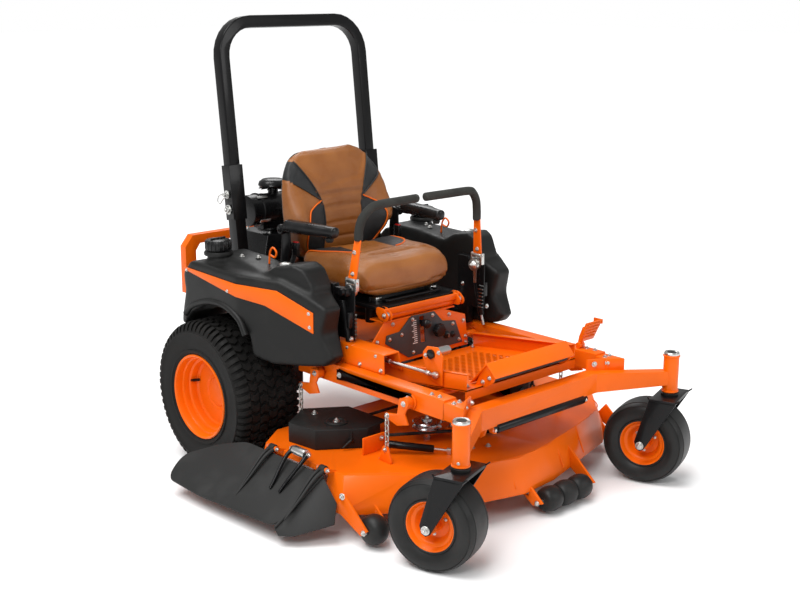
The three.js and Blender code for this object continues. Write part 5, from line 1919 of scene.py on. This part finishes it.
@dataclass
class RollBar:
    """The fold-down roll bar: hoop, hinge channels, pins and hairpins."""

    lean: float = 6.5
    pivot: Point = (0.0, 163.5, 1003.0)
    outer: float = 402.0

    @property
    def seat(self) -> Matrix:
        """The leaning frame of the bar."""
        return Matrix.Translation(self.pivot) @ Matrix.Rotation(-math.radians(self.lean), 4, "X")

    def build(self) -> None:
        """Builds the roll bar."""
        hoop = pressing("rops_hoop", Slot.BLACK, BLACK, 6, 4)
        hoop.place(30)
        for side in Side:
            part = pressing(f"rops_post_{side.label}", Slot.BLACK, BLACK, 2.5, 3)
            extra = Part("loose", "chassis", Slot.BLACK)
            out = side.out
            x = side.x(self.outer + 0.6)
            extra.bolts([((x, 0, 0), out), ((side.x(340), 0, 0), side.inward)], 15)
            extra.add(Shape.rod((x, 0, 62), (x + side.x(22), 0, 62), 8, 20).bevelled(1.5), ZINC)
            extra.add(Shape.turned((x, 0, 62), out, [(0, 0), (17, 0), (17, 4), (0, 4)], 28), ZINC)
            clip = curve_through(
                [(x + side.x(14), -20, 62), (x + side.x(14), 26, 62), (x + side.x(14), 44, 54),
                 (x + side.x(14), 52, 36), (x + side.x(14), 36, 26), (x + side.x(14), 18, 40),
                 (x + side.x(14), -4, 52), (x + side.x(14), -26, 50)], 5)
            extra.add(Shape.swept(clip, 2.2, 8), ZINC)
            bmesh.ops.transform(extra.bm, matrix=self.seat, verts=extra.bm.verts)
            part.absorb(extra)
            part.bolts([((side.x(300), 180 + d, 505), side.inward) for d in (-30, 30)], 10)
            part.place()


# ---------------------------------------------------------------- studio


@dataclass
class Studio:
    """A pale floor, soft lights and the camera."""

    lens: float = 57.47
    place: Point = (-3408.6, -4067.6, 1916.8)
    pitch: float = 14.01
    yaw: float = 46.86
    roll: float = 0.17

    def camera(self) -> None:
        """Sets the camera up."""
        data = bpy.data.cameras.new("camera")
        data.lens, data.sensor_width, data.clip_end = self.lens, 36.0, 100.0
        camera = bpy.data.objects.new("camera", data)
        turn = (Matrix.Rotation(math.radians(self.yaw - 90), 4, "Z")
                @ Matrix.Rotation(math.radians(90 - self.pitch), 4, "X")
                @ Matrix.Rotation(math.radians(self.roll), 4, "Z"))
        camera.matrix_world = Matrix.Translation(TO_ROW @ Vector(self.place)) @ turn
        bpy.context.scene.collection.objects.link(camera)
        bpy.context.scene.camera = camera

    def light(self, name: str, place: Point, size: float, power: float, warmth: float = 1.0) -> None:
        """Args:
            name: the light's name.
            place: where it hangs, in metres; it faces the machine.
            size: the side of its square, in metres.
            power: its watts.
            warmth: the share of blue in its white.
        """
        data = bpy.data.lights.new(name, "AREA")
        data.size, data.energy, data.color = size, power, (1, 1, warmth)
        lamp = bpy.data.objects.new(name, data)
        aim = (Vector((0, 0, 0.6)) - Vector(place)).to_track_quat("-Z", "Y")
        lamp.matrix_world = Matrix.Translation(place) @ aim.to_matrix().to_4x4()
        bpy.context.scene.collection.objects.link(lamp)

    def floor(self) -> None:
        """Lays the floor."""
        bm = bmesh.new()
        bmesh.ops.create_grid(bm, x_segments=1, y_segments=1, size=40)
        mesh = bpy.data.meshes.new("floor")
        bm.to_mesh(mesh)
        bm.free()
        mesh.materials.append(FLOOR.material())
        ground = bpy.data.objects.new("floor", mesh)
        bpy.context.scene.collection.objects.link(ground)

    def sun(self) -> None:
        """Hangs the broad, even light that the floor is white under."""
        data = bpy.data.lights.new("sun", "SUN")
        data.energy, data.angle = 2.5, math.radians(38)
        lamp = bpy.data.objects.new("sun", data)
        lamp.matrix_world = Vector((-0.35, 0.10, 1.0)).to_track_quat("Z", "Y").to_matrix().to_4x4()
        bpy.context.scene.collection.objects.link(lamp)

    def sky(self) -> None:
        """Sets the white surround, which is seen at full strength and lights at a part of it."""
        world = bpy.data.worlds.new("studio")
        world.use_nodes = True
        nodes, links = world.node_tree.nodes, world.node_tree.links
        seen, out = nodes["Background"], nodes["World Output"]
        seen.inputs["Color"].default_value = (1, 1, 1, 1)
        seen.inputs["Strength"].default_value = 1.0
        lit = nodes.new("ShaderNodeBackground")
        lit.inputs["Strength"].default_value = 0.42
        lit.inputs["Color"].default_value = (1, 1, 1, 1)
        mix, ray = nodes.new("ShaderNodeMixShader"), nodes.new("ShaderNodeLightPath")
        for source, target in ((ray.outputs["Is Camera Ray"], mix.inputs[0]),
                               (lit.outputs[0], mix.inputs[1]), (seen.outputs[0], mix.inputs[2]),
                               (mix.outputs[0], out.inputs[0])):
            links.new(source, target)
        bpy.context.scene.world = world

    def build(self) -> None:
        """Sets up the whole studio."""
        bpy.context.scene.view_settings.view_transform = "Standard"
        self.sky()
        self.camera()
        self.floor()
        self.sun()
        self.light("key", (-4.5, -3.0, 4.5), 2.0, 150)
        self.light("front", (2.5, -5.5, 3.0), 2.0, 60)
        self.light("back", (3.0, 4.0, 4.5), 2.5, 90)


def main() -> None:
    """Builds the machine and its studio."""
    logging.basicConfig(level=logging.INFO, format="%(message)s")
    Studio().build()
    for assembly in (Frame(), Floor(), Console(), Levers(), Seat(), Deck(), Bodywork(),
                     Engine(), RollBar()):
        assembly.build()
    for side in Side:
        RearWheel(side).build()
        Caster(side).build()


if __name__ == "__main__":
    main()
